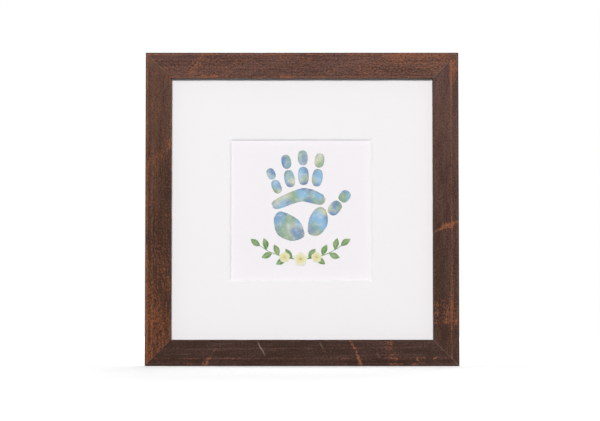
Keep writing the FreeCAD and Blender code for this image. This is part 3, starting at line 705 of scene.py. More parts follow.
# the paleness carries the stain and painted light: paler towards the top and darker towards the bottom, and
# near black as painted shade on the lip's inner face
pale = stain["pale"] - 0.24 + mottle["Streak"] * 0.26 + grain["Streak"] * 0.22 + long_lines
pale = (pale + (grain["Speckle"] - 0.5) * speckle).clamped()
year_rings = rings["Streak"] * 0.55 + bands["Streak"] * 0.35 + rings["Speckle"] * 0.15
pale = pale + (year_rings - pale) * stain["planed"]
colour = blend(pale, UMBER, blend(stain["warm"], DUSTY, WARM))
dash = stain["orange"] + 0.31 + (dashes["Speckle"] - 0.5) * speckle + dashes["Streak"] * 0.22
dash = spread(dash + long_lines * 0.5 - stain["planed"] * 0.30, 0.68, 1.20)
dash = (dash * (grain["Speckle"] * 0.75 + 0.42)).clamped()
colour = blend(dash, colour, blend(stain["warm"], ORANGE, RUSTY))
colour = blend(spread(grain["Speckle"], 0.30, 0.05) * 0.5, colour, PORE)
# the rounded outer edge painted dark as painted shade, less where orange is rubbed through
colour = blend((stain["rim"] * (0.85 - stain["orange"])).clamped(), colour, RIM_SHADE)
colour = blend(stain["scratch"].math("MAXIMUM", marks["Speck"] * 0.5), colour, SCRAPED)
rough = grain["Streak"] * 0.16 + 0.44 - marks["Smudge"] * 0.08
relief = grain["Speckle"] * 0.6 + grain["Streak"] - stain["scratch"] * 0.8
relief = relief + (rings["Streak"] * 1.6 - relief) * stain["planed"]
connect(tree, colour, rough, relief, 0.05 * MM, 0.8)
print("material", stained_wood.name)


# %% A rail's grid
# the depths of the mitre's groove and of the slow waves, and where a rail's finely divided ends begin
GROOVE, WAVES, END_ZONE = 0.14 * MM, 0.03 * MM, 0.985


def rail_points(name):
    """A rail's grid: each outline point (width, depth) at places along the rail that scale with the
    half length left at that width. Its frame of reference is the lower rail, then it is turned."""
    steps = np.concatenate([
        np.linspace(-1, -END_ZONE, 12, endpoint=False), np.linspace(-END_ZONE, END_ZONE, 520),
        np.linspace(END_ZONE, 1, 13)[1:],
    ])
    width, depth = profile.T
    along = steps[:, None] * (half - width)[None, :]
    width, depth = np.broadcast_to(width, along.shape), np.broadcast_to(depth, along.shape)
    step = np.roll(profile, -1, 0) - np.roll(profile, 1, 0)
    inwards = np.stack([-step[:, 1], step[:, 0]], axis=-1) / np.linalg.norm(step, axis=1)[:, None]
    mm_along, mm_across = along / MM, width / MM
    waves = WAVES * (1 + drift((mm_along, depth / MM * 3, mm_across), 55.0, RAILS[name]["seed"] + 5) / 2)
    groove = GROOVE * bell((half - width - np.abs(along)) / MM, 0.0, 0.22)
    sink = groove + np.where(depth < glass_front, waves + dents(name, mm_along, mm_across), 0.0)
    width, depth = width + inwards[:, 0] * sink, depth + inwards[:, 1] * sink
    turn = np.radians(RAILS[name]["turn"])
    up = width - middle
    return np.stack([
        along * np.cos(turn) + up * np.sin(turn), depth, middle - along * np.sin(turn) + up * np.cos(turn),
    ], axis=-1), mm_along, mm_across


print("rail grid ready")

# %% The four rails
on_side, in_rabbet = profile[:, 1] > front + 1.3 * MM, profile[:, 0] > rail_width - 0.1 * MM
rear_edge = bell(np.hypot(profile[:, 0], rear - profile[:, 1]), 0, 0.7 * MM)
for number, name in enumerate(RAILS):
    points, mm_along, mm_across = rail_points(name)
    rows, columns = points.shape[:2]
    faces = grid_quads(rows, columns).tolist()
    faces += [list(range(columns))[::-1], list(range((rows - 1) * columns, rows * columns))]
    fields = stain_fields(name, mm_along, mm_across)
    rubbed = rear_edge * (0.55 + 0.35 * drift((mm_along,), 14.0, RAILS[name]["seed"] + 70))
    fields["orange"] = np.where(on_side, fields["orange"] * 0.35 + rubbed * 1.1, fields["orange"])
    # the rim's painted shade lies on the front only
    fields["rim"] = np.where(on_side, 0.0, fields["rim"])
    # the lip's inner face and the rabbet are painted near black: painted shade, for the lip's inner face in
    # shadow
    fields["pale"] = np.where(on_side & in_rabbet, -0.6, fields["pale"])
    fields["planed"] = np.broadcast_to(1.0 * (on_side & ~in_rabbet), mm_along.shape)
    uv = np.stack([mm_along * MM + number, np.broadcast_to(around, mm_along.shape) + number], axis=-1)
    fields = {label: values.ravel() for label, values in fields.items()}
    new_piece(name.replace("rail", "stained_rail"), points.reshape(-1, 3), faces, stained_wood, "frame",
              "stained_wood", [name], uv.reshape(-1, 2), fields, flat=2)

# %% [markdown]
# ## The window mat
#
# A mat is thick card with a window cut at 45 degrees, so its white core shows as a fine bright line
# round the print. Its face has a very faint linen weave. The card has a little play in the rabbet, so
# it rests on the lower rail and a hair to one side. The outline of the card's section is carried
# round the square: each point of the section becomes a square ring. Places close beside each corner
# keep the bevel's four faces crisp. A value on each point says where the cut core shows.


# %% The mat's grid
def square_ring(count):
    """Places round a square of half side 1, in order, with extra ones close beside its corners."""
    side = np.concatenate([[-1.0, -0.997], np.linspace(-0.985, 0.985, count), [0.997]])
    fixed = np.full_like(side, -1.0)
    corners = [(side, fixed), (-fixed, side), (-side, -fixed), (fixed, -side)]
    return np.vstack([np.stack(pair, axis=-1) for pair in corners])


window_half, window_shift = 50.8 * MM, -1.1 * MM
# how far the mat has slid in its play, sideways and down
PLAY_X, PLAY_Z = 0.3 * MM, -0.72 * MM
card_half = high("mat_board")[0]
# a hair behind the pane, so that the two faces aren't in one plane
card_front = mat_front + 0.04 * MM
front_half = window_half + (mat_back - card_front)
card = (card_half, card_front), (front_half, card_front), (window_half, mat_back), (card_half, mat_back)
section = rounded_outline(np.array(card), np.array((0.2, 0.14, 0.06, 0.2)) * MM)
section = divided(section, np.full(len(section), 8 * MM))
ring = square_ring(20)
shape = len(section), len(ring)
reach, depth = section[:, :1], section[:, 1:]
at_window = reach < (card_half + front_half) / 2
sides = np.stack([
    PLAY_X + ring[:, 0] * reach + window_shift * at_window, np.broadcast_to(depth, shape),
    middle + PLAY_Z + ring[:, 1] * reach,
], axis=-1)
core = np.broadcast_to((reach < front_half - 0.02 * MM) & (depth > card_front + 0.03 * MM), shape)
index = np.arange(len(ring))
last = index + (len(section) - 1) * len(ring)
closing = np.stack([last, np.roll(last, -1), np.roll(index, -1), index], axis=-1)
faces = grid_quads(*shape).tolist() + closing.tolist()
print("section points:", len(section), "places round:", len(ring))

# %% Card with a linen face
mat_card, tree = new_material("mat_card", Roughness=0.9, Specular_IOR_Level=0.25)
place = object_place(tree)
warp, weft = (
    node_value(tree, "ShaderNodeTexWave", "Fac", {"wave_type": "BANDS", "bands_direction": direction},
               Vector=place, Scale=520.0, Distortion=1.2, Detail=2.0, Detail_Scale=0.6)
    for direction in ("X", "Z")
)
fibre = place_group(fibres, place, Density=1600.0)["Fibre"]
core_share = attribute(tree, "core")
colour = blend(fibre * 0.5 + (warp + weft) * 0.25, srgb(245, 241, 243), srgb(248, 245, 247))
relief = ((warp + weft) * 0.5 + fibre) * (1.0 - core_share * 0.7)
connect(tree, blend(core_share, colour, srgb(253, 251, 252)), None, relief, 0.02 * MM)
new_piece("window_mat", sides.reshape(-1, 3), faces, mat_card, "frame", "mat_board", ["mat_board"],
          fields={"core": core.astype(float).ravel()})

# %% [markdown]
# ## The glass and the sheet
#
# The pane is a plain clear box. In the photograph it can't be told from air. Only the camera meets the
# glass: light from the lamps and the world passes it, which the renderer can't do through real glass
# without much noise. The sheet behind the window is smooth art paper with a faint tooth.


# %% Dressing a CAD node
def dress(node, material, bevel=0.0):
    """Gives a CAD node its finish. Where bevel is a length, its sharp edges are rounded by that much."""
    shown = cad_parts[node]
    for slot in shown.material_slots:
        slot.material = material
    if bevel:
        weld = shown.modifiers.new("weld", "WELD")
        weld.merge_threshold = 0.001 * MM
        whole_faces = shown.modifiers.new("whole_faces", "DECIMATE")
        whole_faces.decimate_type = "DISSOLVE"
        whole_faces.angle_limit = np.radians(0.5)
        rounding = shown.modifiers.new("rounding", "BEVEL")
        rounding.width = bevel
        rounding.segments = 2
        rounding.limit_method = "ANGLE"
        rounding.angle_limit = np.radians(40.0)
    return shown


clear_glass, tree = new_material(
    "clear_pane", Base_Color=(0.99, 1.0, 0.995, 1.0), Roughness=0.0, IOR=1.45, Transmission_Weight=1.0)
to_camera = node_value(tree, "ShaderNodeLightPath", "Is Camera Ray")
open_air = add_node(tree, "ShaderNodeBsdfTransparent")
glass = tree.nodes["shader"]
pane = add_node(tree, "ShaderNodeMixShader", _0=to_camera, _1=open_air.outputs[0], _2=glass.outputs[0])
tree.links.new(pane.outputs[0], tree.nodes["output"].inputs["Surface"])
dress("glass_pane", clear_glass)

art_paper, tree = new_material("smooth_art_paper", Roughness=0.88, Specular_IOR_Level=0.25)
paper = place_group(fibres, object_place(tree), Density=1400.0)
colour = blend(paper["Fibre"], srgb(244, 239, 243), srgb(247, 243, 246))
connect(tree, colour, None, paper["Fleck"] * 0.35 + paper["Fibre"], 0.03 * MM)
dress("art_sheet", art_paper)
print("glass and sheet dressed")

# %% [markdown]
# ## The handprint
#
# A painted print is thin paint in separate pads: two for each finger and three for the palm, with the
# creases of the skin left bare between them. Each pad is a low cushion of paint. Its outline is a
# closed curve, a squared ellipse for the fingers and a smooth curve through eight points for the palm,
# and its rings shrink towards a middle point. The paint is thickest in a rim just inside the edge,
# as wet paint dries, and fine lines of skin run across it.

# %% Sizes of the print, as in the part
PAINT = 0.2 * MM
# from the window's lower edge to the garland, from there to the hand, and from the hand to the upper edge
GARLAND_GAP, HAND_GAP, UPPER_GAP = 14.3 * MM, 13.5 * MM, 7.8 * MM
GARLAND_LOW = GARLAND_GAP - window_half
HAND_BASE = GARLAND_LOW + HAND_GAP
HAND_HEIGHT = window_half - UPPER_GAP - HAND_BASE
HAND_TILT = np.radians(-4.0)
# root across, root up, lean in degrees, length and width, in shares of the hand's height
FINGERS = {
    "index": (0.215, 0.585, 11.0, 0.375, 0.120), "middle": (0.078, 0.610, 2.0, 0.390, 0.122),
    "ring": (-0.062, 0.596, -7.0, 0.370, 0.118), "little": (-0.198, 0.540, -19.0, 0.300, 0.104),
    "thumb": (0.342, 0.270, 44.0, 0.330, 0.132),
}
# where a finger's two pads start and end along it, and their width as a share of its own
FINGER_PADS = ((0.0, 0.535, 1.0), (0.565, 1.0, 0.92))
# the points of the palm's three pads, across and up
PALM_PADS = (
    ((-0.262, 0.470), (0.060, 0.582), (0.272, 0.505), (0.312, 0.425), (0.246, 0.378), (0.045, 0.432),
     (-0.226, 0.366), (-0.292, 0.402)),
    ((0.205, 0.352), (0.285, 0.345), (0.318, 0.270), (0.305, 0.140), (0.200, 0.040), (0.095, 0.065),
     (0.092, 0.165), (0.125, 0.265)),
    ((-0.180, 0.338), (-0.256, 0.312), (-0.284, 0.235), (-0.252, 0.085), (-0.120, 0.005), (-0.010, 0.010),
     (0.052, 0.065), (0.000, 0.225)),
)

print("hand height:", round(HAND_HEIGHT / MM, 1), "mm")


# %% Outlines of the pads
def full_turn(count):
    """Angles that divide a full turn evenly."""
    return np.arange(count) * 2 * np.pi / count


def squared_ellipse(finger, pad, count=72):
    """A finger pad's outline: cosine and sine to the power 2 / 2.5, scaled, leant and moved to its place."""
    root_x, root_z, lean, length, width = finger
    start, end, narrowing = pad
    t = full_turn(count)
    cosine, sine = (np.sign(wave) * np.abs(wave) ** 0.8 for wave in (np.cos(t), np.sin(t)))
    side = cosine * narrowing * width / 2
    rise = length * ((start + end) / 2 + sine * (end - start) / 2)
    lean = np.radians(lean)
    return np.stack([root_x + side * np.cos(lean) + rise * np.sin(lean),
                     root_z - side * np.sin(lean) + rise * np.cos(lean)], axis=-1)


def smooth_curve(corners, steps=12):
    """A closed curve through corners: each span is a cubic whose slope at a corner is half the way
    between that corner's two neighbours."""
    here = np.array(corners)
    before, after, beyond = np.roll(here, 1, 0), np.roll(here, -1, 0), np.roll(here, -2, 0)
    t = (np.arange(steps) / steps)[None, :, None]
    a, b, c, d = (p[:, None, :] for p in (before, here, after, beyond))
    slope, bend, twist = c - a, 2 * a - 5 * b + 4 * c - d, 3 * b - a - 3 * c + d
    return ((2 * b + slope * t + bend * t ** 2 + twist * t ** 3) / 2).reshape(-1, 2)


outlines = [squared_ellipse(finger, pad) for finger in FINGERS.values() for pad in FINGER_PADS]
outlines += [smooth_curve(corners) for corners in PALM_PADS]
print("pads:", len(outlines))


# %% Places on the sheet and closed skins
def on_sheet(x, z, lift):
    """Places on the art sheet, from the middle of the window, some way in front of it."""
    return np.stack([window_shift + x, np.broadcast_to(sheet_front - lift, np.shape(x)), middle + z], axis=-1)


def shell(rings, start, end):
    """A closed skin over rings of points, with a fan of triangles to a point at each end."""
    rows, columns = rings.shape[:2]
    points = np.vstack([rings.reshape(-1, 3), start, end])
    first = np.arange(columns)
    last = first + (rows - 1) * columns
    fans = [np.stack([np.roll(first, -1), first, np.full(columns, len(points) - 2)], axis=-1),
            np.stack([last, np.roll(last, -1), np.full(columns, len(points) - 1)], axis=-1)]
    return points, grid_quads(rows, columns).tolist() + np.vstack(fans).tolist()


def joined(parts):
    """Several closed skins as one set of points and faces, each turned to face outwards."""
    points, faces, count = [], [], 0
    for part_points, part_faces in parts:
        if volume(part_points, part_faces) < 0:
            part_faces = [face[::-1] for face in part_faces]
        faces += [[corner + count for corner in face] for face in part_faces]
        points.append(part_points)
        count += len(part_points)
    return np.vstack(points), faces


print("skins ready")


# %% Pads of paint
def paint_pad(outline, seed):
    """A pad of paint: rings from its middle to its wavy edge, and a flat underside. Its height rises
    steeply from the edge to a rim and dips a little towards the middle."""
    outline = outline * HAND_HEIGHT
    centre = outline.mean(axis=0)
    out = outline - centre
    ragged = 1 - 0.018 * (1 + drift((outline[:, 0] / MM, outline[:, 1] / MM), 2.2, seed, 10) / 2)
    edge = centre + out * (ragged - 0.01)[:, None]
    shares = np.concatenate([np.linspace(0.08, 0.8, 13), [0.86, 0.91, 0.95, 0.98, 1.0]])
    flat = centre + (edge - centre)[None] * shares[:, None, None]
    across, up = flat[..., 0] / MM, flat[..., 1] / MM
    rise = np.clip((1 - shares) / 0.12, 0, 1)[:, None] ** 0.6
    rim = bell(shares, 0.9, 0.06)[:, None]
    skin = np.sin(2 * np.pi * (up / 1.15 + 0.5 * drift((across, up), 9.0, seed + 1)))
    height = PAINT * rise * (0.72 + 0.2 * rim + 0.06 * skin * (shares < 0.85)[:, None]
                             + 0.08 * drift((across, up), 4.0, seed + 2))
    height = np.clip(height, 0.004 * MM, PAINT)
    turn = np.array(((np.cos(HAND_TILT), -np.sin(HAND_TILT)), (np.sin(HAND_TILT), np.cos(HAND_TILT))))
    flat, middle_point = flat @ turn, centre @ turn
    top = on_sheet(flat[..., 0], flat[..., 1] + HAND_BASE, height)
    under = on_sheet(flat[-1, :, 0], flat[-1, :, 1] + HAND_BASE, 0.0)[None]
    poles = [on_sheet(middle_point[0], middle_point[1] + HAND_BASE, lift) for lift in (height[0].mean(), 0.0)]
    points, faces = shell(np.concatenate([top, under]), *poles)
    ring_shares = np.broadcast_to(shares[:, None], flat.shape[:2]).ravel()
    return (points, faces), np.concatenate([ring_shares, np.ones(len(outline)), [0, 0]])


pads, wetness = zip(*[paint_pad(outline, 100 + 5 * i) for i, outline in enumerate(outlines)])
print("pads of paint:", len(pads), "points:", sum(len(points) for points, faces in pads))

# %% [markdown]
# The print's colours follow the photograph's: sky blue, slate blue, sage and cream, run into each
# other as in watercolour. Four slow random fields compete at each point, and the strongest gives the
# colour. Towards a pad's edge the pigment gathers and darkens.

# %% Colours of the paint
WASH = np.array([srgb(142, 188, 222), srgb(98, 134, 182), srgb(142, 170, 132), srgb(226, 224, 190)])


def wash_colours(points, edge):
    """Pigment at each point: the mean of four colours, each weighted by the exponential of its own slow
    random field, and darker by a power of how near the edge is."""
    place = (points[:, 0] / MM, points[:, 2] / MM)
    fields = np.stack([drift(place, 17.0, 300 + i, 10) for i in range(4)])
    weights = np.exp(2.6 * fields + np.array([0.5, 0.35, 0.2, -0.5])[:, None])
    colours = np.einsum("ij,ik->jk", weights / weights.sum(0), WASH)
    grains = 1 + 0.05 * drift(place, 1.4, 320, 12)
    colours[:, :3] *= ((1 - 0.30 * edge ** 14 - 0.10 * edge ** 4) * grains)[:, None]
    return colours


paint, tree = new_material("watercolour_paint", Specular_IOR_Level=0.3)
place = object_place(tree)
paper = place_group(fibres, place, Density=1400.0)
cloud = noise(place, 260.0, 4.0, 0.6)
washed = blend(spread(cloud, 0.45, 0.7) * 0.30, attribute(tree, "wash", "Color"), srgb(240, 240, 236))
gathered = blend(paper["Fleck"] * 0.22, washed, srgb(74, 104, 140))
connect(tree, gathered, paper["Fibre"] * 0.2 + 0.5, cloud * 0.8 + paper["Fibre"], 0.03 * MM, 0.7)
points, faces = joined(pads)
new_piece("painted_handprint", points, faces, paint, "frame", "blue_paint", ["handprint"],
          fields={"wash": wash_colours(points, np.concatenate(wetness))})

# %% [markdown]
# ## The pressed garland
#
# Under the hand lie pressed stems, leaves and small blossoms. Pressed plants are flat but never
# even: a stem tapers, a leaf has a raised midrib with veins that curve to its edge, and its blade
# cups, and petals overlap with a notch at the tip. Each is a closed skin whose cross-sections follow a
# line from its root to its tip.

# %% Stems
# how far each layer stands off the sheet
STEM_LIFT, LEAF_LIFT, BLOSSOM_LIFT = 0.3 * MM, 0.55 * MM, 0.85 * MM
# the leaves' length and width, how many a stem has, and how far they splay in degrees
LEAF_LENGTH, LEAF_WIDTH, LEAF_COUNT, LEAF_SPLAY = 8.8 * MM, 4.3 * MM, 6, 48.0
# angles on the garland's arc: its end, and the small blossoms beside the large one
GARLAND_REACH, SMALL_ANGLE = 36.0, 13.5
reach = np.radians(GARLAND_REACH)
garland_radius = (window_half - GARLAND_GAP - LEAF_LENGTH * np.cos(reach)) / np.sin(reach)


def garland_place(angle, radius=garland_radius):
    """The place on the garland's arc at an angle in degrees from its lowest point."""
    a = np.radians(angle)
    return radius * np.sin(a), GARLAND_LOW + garland_radius - radius * np.cos(a)


def stem(side):
    """A flattened stem: an ellipse carried along the arc, thinner towards its tip, with small knots."""
    share = np.linspace(0, 1, 70)
    sweep = full_turn(12)
    knots = bell(share[:, None], np.arange(1, 6) / 5.6, 0.012).sum(1)
    wide = 0.4 * MM * (1 - 0.55 * share + 0.12 * knots)
    wander = 0.12 * MM * drift((share * 10,), 4.0, 40 + side)
    radius = garland_radius + wander[:, None] + wide[:, None] * np.cos(sweep)
    x, z = garland_place(side * GARLAND_REACH * share[:, None], radius)
    thick = STEM_LIFT / 2 * (1 - 0.35 * share)[:, None]
    rings = on_sheet(x, z, thick * (1 + 0.98 * np.sin(sweep)))
    return shell(rings, rings[0].mean(0), rings[-1].mean(0))


stems = joined([stem(-1), stem(1)])
print("stem radius of the arc:", round(garland_radius / MM, 2), "mm")


# %% Leaves
def blade(x, z, heading, length, width, lift, seed, petal=False, thickness=0.09 * MM):
    """A leaf or petal: across it runs a shallow V with a raised midrib and veins, its half width follows a
    power of a half sine wave, and it cups and droops from its root. A leaf's veins curve from the midrib
    to the edge. A petal is broadest near its tip, which has a notch, and its veins fan out from the root.
    The second result says where the ribs and veins are."""
    draw = np.random.default_rng(seed)
    share = np.linspace(0, 1, 60)[1:-1, None]
    across = np.cos(np.linspace(0, np.pi, 21))[None, :]
    half_sine, inside = np.sin(np.pi * share), 1 - np.abs(across) ** 6
    half_width = width / 2 * (np.sin(np.pi * share ** 1.55) ** 0.62 if petal else half_sine)
    side = half_width * across + draw.normal() * 0.04 * length * half_sine
    a = np.radians(heading)
    along = length * (share - (0.10 * bell(across, 0, 0.34) * share ** 5 if petal else 0.0))
    px, pz = x + along * np.sin(a) + side * np.cos(a), z + along * np.cos(a) - side * np.sin(a)
    veins = np.cos(7 * np.pi * across) if petal else np.sin(2 * np.pi * (share * 6.5 - 1.1 * np.abs(across)))
    veins = veins * np.ones_like(share)
    relief = 0.05 * bell(across, 0, 0.09) + 0.018 * veins * inside * half_sine
    cup = -0.10 * across ** 2 + 0.03 * draw.normal() * across * np.sin(np.pi * share * 2)
    height = lift - 0.12 * MM + (relief + cup) * MM * (0.4 + 0.6 * half_sine)
    thin = thickness * (1 - np.abs(across) ** 8) + 0.004 * MM
    under = on_sheet(px, pz, height - thin)[:, ::-1]
    rings = np.concatenate([on_sheet(px, pz, height), under[:, 1:-1]], axis=1)
    ends = [on_sheet(np.array(x + t * np.sin(a)), np.array(z + t * np.cos(a)), lift - 0.17 * MM)
            for t in (0.0, (0.9 if petal else 1.0) * length)]
    midrib = bell(across, 0, 0.12) * (0.0 if petal else 1.0)
    ribs = np.maximum(midrib, 0.75 * np.clip(veins, 0, 1) ** 4 * inside * half_sine ** 0.5)
    ribs = np.concatenate([ribs, np.zeros((len(share), across.size - 2))], axis=1)
    return shell(rings, *ends), np.concatenate([ribs.ravel(), [0.0, 0.0]])


leaves, first_angle = [], SMALL_ANGLE / 2
leaf_step = (GARLAND_REACH - first_angle) / (LEAF_COUNT - 1)
for side in (-1, 1):
    for number in range(LEAF_COUNT):
        angle = side * (first_angle + number * leaf_step)
        splay = 0 if number == LEAF_COUNT - 1 else LEAF_SPLAY * (1 if number % 2 else -1) * side
        leaves.append(blade(*garland_place(angle), 90 * side - angle + splay, LEAF_LENGTH, LEAF_WIDTH,
                            LEAF_LIFT, 50 + 10 * side + number))
leaves, leaf_ribs = zip(*leaves)
print("leaves:", len(leaves))

# %% Pressed leaf
def pressed(tree, colour, rib_share, rib, fleck_share, fleck, roughness, depth):
    """A dried plant's surface: ribs and flecks over its colour, and a gloss and a bump of fine fibres."""
    paper = place_group(fibres, object_place(tree), Density=1500.0)
    colour = blend(attribute(tree, "rib") * rib_share, colour, rib)
    colour = blend(paper["Fleck"] * fleck_share, colour, fleck)
    connect(tree, colour, paper["Fibre"] * 0.2 + roughness, paper["Fibre"], depth)


pressed_leaf, tree = new_material("pressed_leaf", Specular_IOR_Level=0.3)
patch = spread(noise(object_place(tree), 130.0), 0.38, 0.64)
colour = blend(patch, srgb(84, 130, 62), srgb(140, 166, 118))
pressed(tree, colour, 0.6, srgb(186, 204, 150), 0.35, srgb(58, 92, 44), 0.6, 0.02 * MM)
new_piece("garland_stalks", *stems, pressed_leaf, "frame", "dried_leaf", ["garland_stems"])
new_piece("garland_blades", *joined(leaves), pressed_leaf, "frame", "dried_leaf", ["garland_leaves"],
          fields={"rib": np.concatenate(leaf_ribs)})

# %% Blossoms
BLOSSOM_RADIUS, PETALS, BEADS = 5.2 * MM, 5, 14
# each blossom's angle on the arc and its scale
BLOSSOMS = ((0.0, 1.0), (-SMALL_ANGLE, 0.78), (SMALL_ANGLE, 0.78))
# the golden angle in radians, by which the seeds of a flower turn from one to the next
SPIRAL_TURN = 2.39996


def bead(x, z, lift, radius):
    """A pollen bead: a small ball, ring by ring from one pole to the other."""
    t = np.linspace(0, np.pi, 8)[1:-1, None]
    sweep = full_turn(12)
    rings = on_sheet(x + radius * np.sin(t) * np.cos(sweep), z + radius * np.sin(t) * np.sin(sweep),
                     lift + radius * np.cos(t) * np.ones_like(sweep))
    return shell(rings, *[on_sheet(np.array(x), np.array(z), lift + radius * way) for way in (1, -1)])


petals, beads, spiral = [], [], np.arange(BEADS)
for number, (angle, scale) in enumerate(BLOSSOMS):
    x, z = garland_place(angle)
    size = BLOSSOM_RADIUS * scale
    for k in range(PETALS):
        lift = BLOSSOM_LIFT - 0.07 * MM * (k % 2)
        petals.append(blade(x, z, 360.0 / PETALS * k, size * 0.99, size * 0.90, lift, 200 + number * 10 + k,
                            petal=True, thickness=0.06 * MM))
    turn, out = spiral * SPIRAL_TURN, 0.27 * MM * np.sqrt(spiral + 0.3) * scale
    for bead_x, bead_z, radius in zip(out * np.cos(turn), out * np.sin(turn), 0.19 - 0.004 * spiral):
        beads.append(bead(x + bead_x, z + bead_z, BLOSSOM_LIFT, radius * MM * scale))
petals, petal_ribs = zip(*petals)
print("petals:", len(petals), "beads:", len(beads))

# %% Petals and pollen
points, faces = joined(petals)
centres = np.repeat([garland_place(angle) for angle, scale in BLOSSOMS], len(points) // len(BLOSSOMS), axis=0)
out = np.hypot(points[:, 0] - window_shift - centres[:, 0], points[:, 2] - middle - centres[:, 1])
pressed_petal, tree = new_material("pressed_petal", Specular_IOR_Level=0.3)
reach = attribute(tree, "out")
colour = blend(spread(reach, 0.15, 0.95), srgb(226, 220, 160), srgb(240, 236, 214))
colour = blend(spread(reach, 0.8, 1.05) * 0.45, colour, srgb(176, 196, 214))
pressed(tree, colour, 0.35, srgb(206, 196, 128), 0.22, srgb(196, 178, 110), 0.62, 0.015 * MM)
new_piece("garland_petals", points, faces, pressed_petal, "frame", "dried_petal", ["garland_blossoms"],
          fields={"out": out / BLOSSOM_RADIUS, "rib": np.concatenate(petal_ribs)})
pollen, tree = new_material("pollen", Roughness=0.8)
fibre = place_group(fibres, object_place(tree), Density=3000.0)["Fibre"]
connect(tree, blend(fibre, srgb(176, 140, 52), srgb(214, 186, 96)), None, fibre, 0.02 * MM, 0.8)
new_piece("blossom_pollen", *joined(beads), pollen, "frame", "dried_petal")

# %% [markdown]
# ## Tapes, boards and the back panel
#
# Behind the sheet lie two strips of gummed tape, a mount board, a corrugated filler and the back panel.
# The easel leg is of the same pressed board as the panel. All but the filler have the right shape as
# solids, so those CAD nodes stay. On the back panel and the easel leg a weld joins their loose
# triangles, and a narrow bevel then rounds the edges that catch the light. The filler is made anew,
# because its edge shows what it is: a sheet in waves between two flat liners.

# %% Papers and boards
def board(name, density, light, dark, fleck, fleck_share, roughness, depth):
    """A finish for paper, card or pressed board: fibres of two colours with flecks of a third. Its tree and
    its colour come too, for a board that needs more."""
    material, tree = new_material(name, Specular_IOR_Level=0.25)
    place = object_place(tree)
    paper = place_group(fibres, place, Density=density)
    rubbed = place_group(handling, place, Size=22.0)
    colour = blend(rubbed["Smudge"] * 0.25 + paper["Fibre"], srgb(*light), srgb(*dark))
    colour = blend(paper["Fleck"] * fleck_share, colour, srgb(*fleck))
    relief = paper["Fibre"] - rubbed["Scratch"] * 0.5
    connect(tree, colour, roughness - rubbed["Smudge"] * 0.08, relief, depth * MM, 0.7)
    return material, tree, colour


# density of the fibres, the light, dark and fleck colours, the flecks' share, roughness and bump in mm
boards = {name: board(name, *look) for name, look in {
    "gummed_tape": (1800.0, (238, 230, 206), (226, 216, 188), (210, 196, 160), 0.2, 0.8, 0.03),
    "backing_card": (1500.0, (240, 238, 228), (228, 224, 212), (206, 200, 184), 0.2, 0.9, 0.03),
    "corrugated_card": (1100.0, (196, 160, 116), (172, 134, 92), (140, 104, 66), 0.3, 0.88, 0.04),
    "pressed_board": (1500.0, (116, 82, 55), (143, 106, 74), (76, 51, 34), 0.45, 0.56, 0.05),
}.items()}
tree, colour = boards["pressed_board"][1:]
place = object_place(tree)
coarse = place_group(fibres, place, Density=520.0)
bundles = coarse["Fleck"] * spread(noise(place, 300.0), 0.5, 0.7)
colour = blend(spread(coarse["Fibre"], 0.62, 0.92) * 0.42, colour, srgb(172, 136, 98))
colour = blend(bundles * 0.7, colour, srgb(66, 44, 30))
colour = blend(spread(noise(place, 16.0, 4.0, 0.6), 0.32, 0.68) * 0.28, colour, srgb(98, 67, 44))
tree.links.new(colour.socket, tree.nodes["shader"].inputs["Base Color"])
for node, name, rounding in (
    ("holding_tapes", "gummed_tape", 0.0), ("mount_board", "backing_card", 0.0),
    ("back_panel", "pressed_board", 0.25), ("easel_leg", "pressed_board", 0.5),
):
    dress(node, boards[name][0], rounding * MM)
print("boards dressed")

# %% The corrugated filler
# the thickness of a liner and of the waved sheet
LINER, MEDIUM = 0.3 * MM, 0.22 * MM
FLUTES, STEPS_PER_FLUTE = 23, 16


def upright_band(x, near, far, bottom, top):
    """A closed sheet that stands upright: its section at each x is a rectangle from near to far in depth."""
    near, far = np.broadcast_to(near, x.shape), np.broadcast_to(far, x.shape)
    corners = ((near, bottom), (near, top), (far, top), (far, bottom))
    rings = np.stack([np.stack([x, depth, np.full_like(x, up)], axis=-1) for depth, up in corners], axis=1)
    last = 4 * (len(x) - 1)
    ends = [[0, 3, 2, 1], [last, last + 1, last + 2, last + 3]]
    return rings.reshape(-1, 3), grid_quads(len(x), 4).tolist() + ends


(left, near, bottom), (right, far, top) = low("filler_board"), high("filler_board")
places = np.linspace(left, right, FLUTES * STEPS_PER_FLUTE + 1)
swing = (far - near) / 2 - LINER - MEDIUM / 2
wave = (near + far) / 2 + swing * np.sin(2 * np.pi * FLUTES * (places - left) / (right - left))
points, faces = joined([
    upright_band(places[[0, -1]], near, near + LINER, bottom, top),
    upright_band(places, wave - MEDIUM / 2, wave + MEDIUM / 2, bottom, top),
    upright_band(places[[0, -1]], far - LINER, far, bottom, top),
])
new_piece("corrugated_filler", points, faces, boards["corrugated_card"][0], "frame", "corrugated_board",
          ["filler_board"], flat=len(faces))
print("flute pitch:", round((right - left) / FLUTES / MM, 2), "mm, board:", round((far - near) / MM, 2), "mm")

# %% [markdown]
# ## Metal and rubber
#
# The hinge leaves, the turn buttons and the hanger are stamped from sheet. Their burrs are tumbled off,
# so every edge has a small round that shows as a bright line. Zinc plate is a little uneven, brass
# tarnishes where it isn't rubbed, and both have fine streaks along the strip they were cut from.


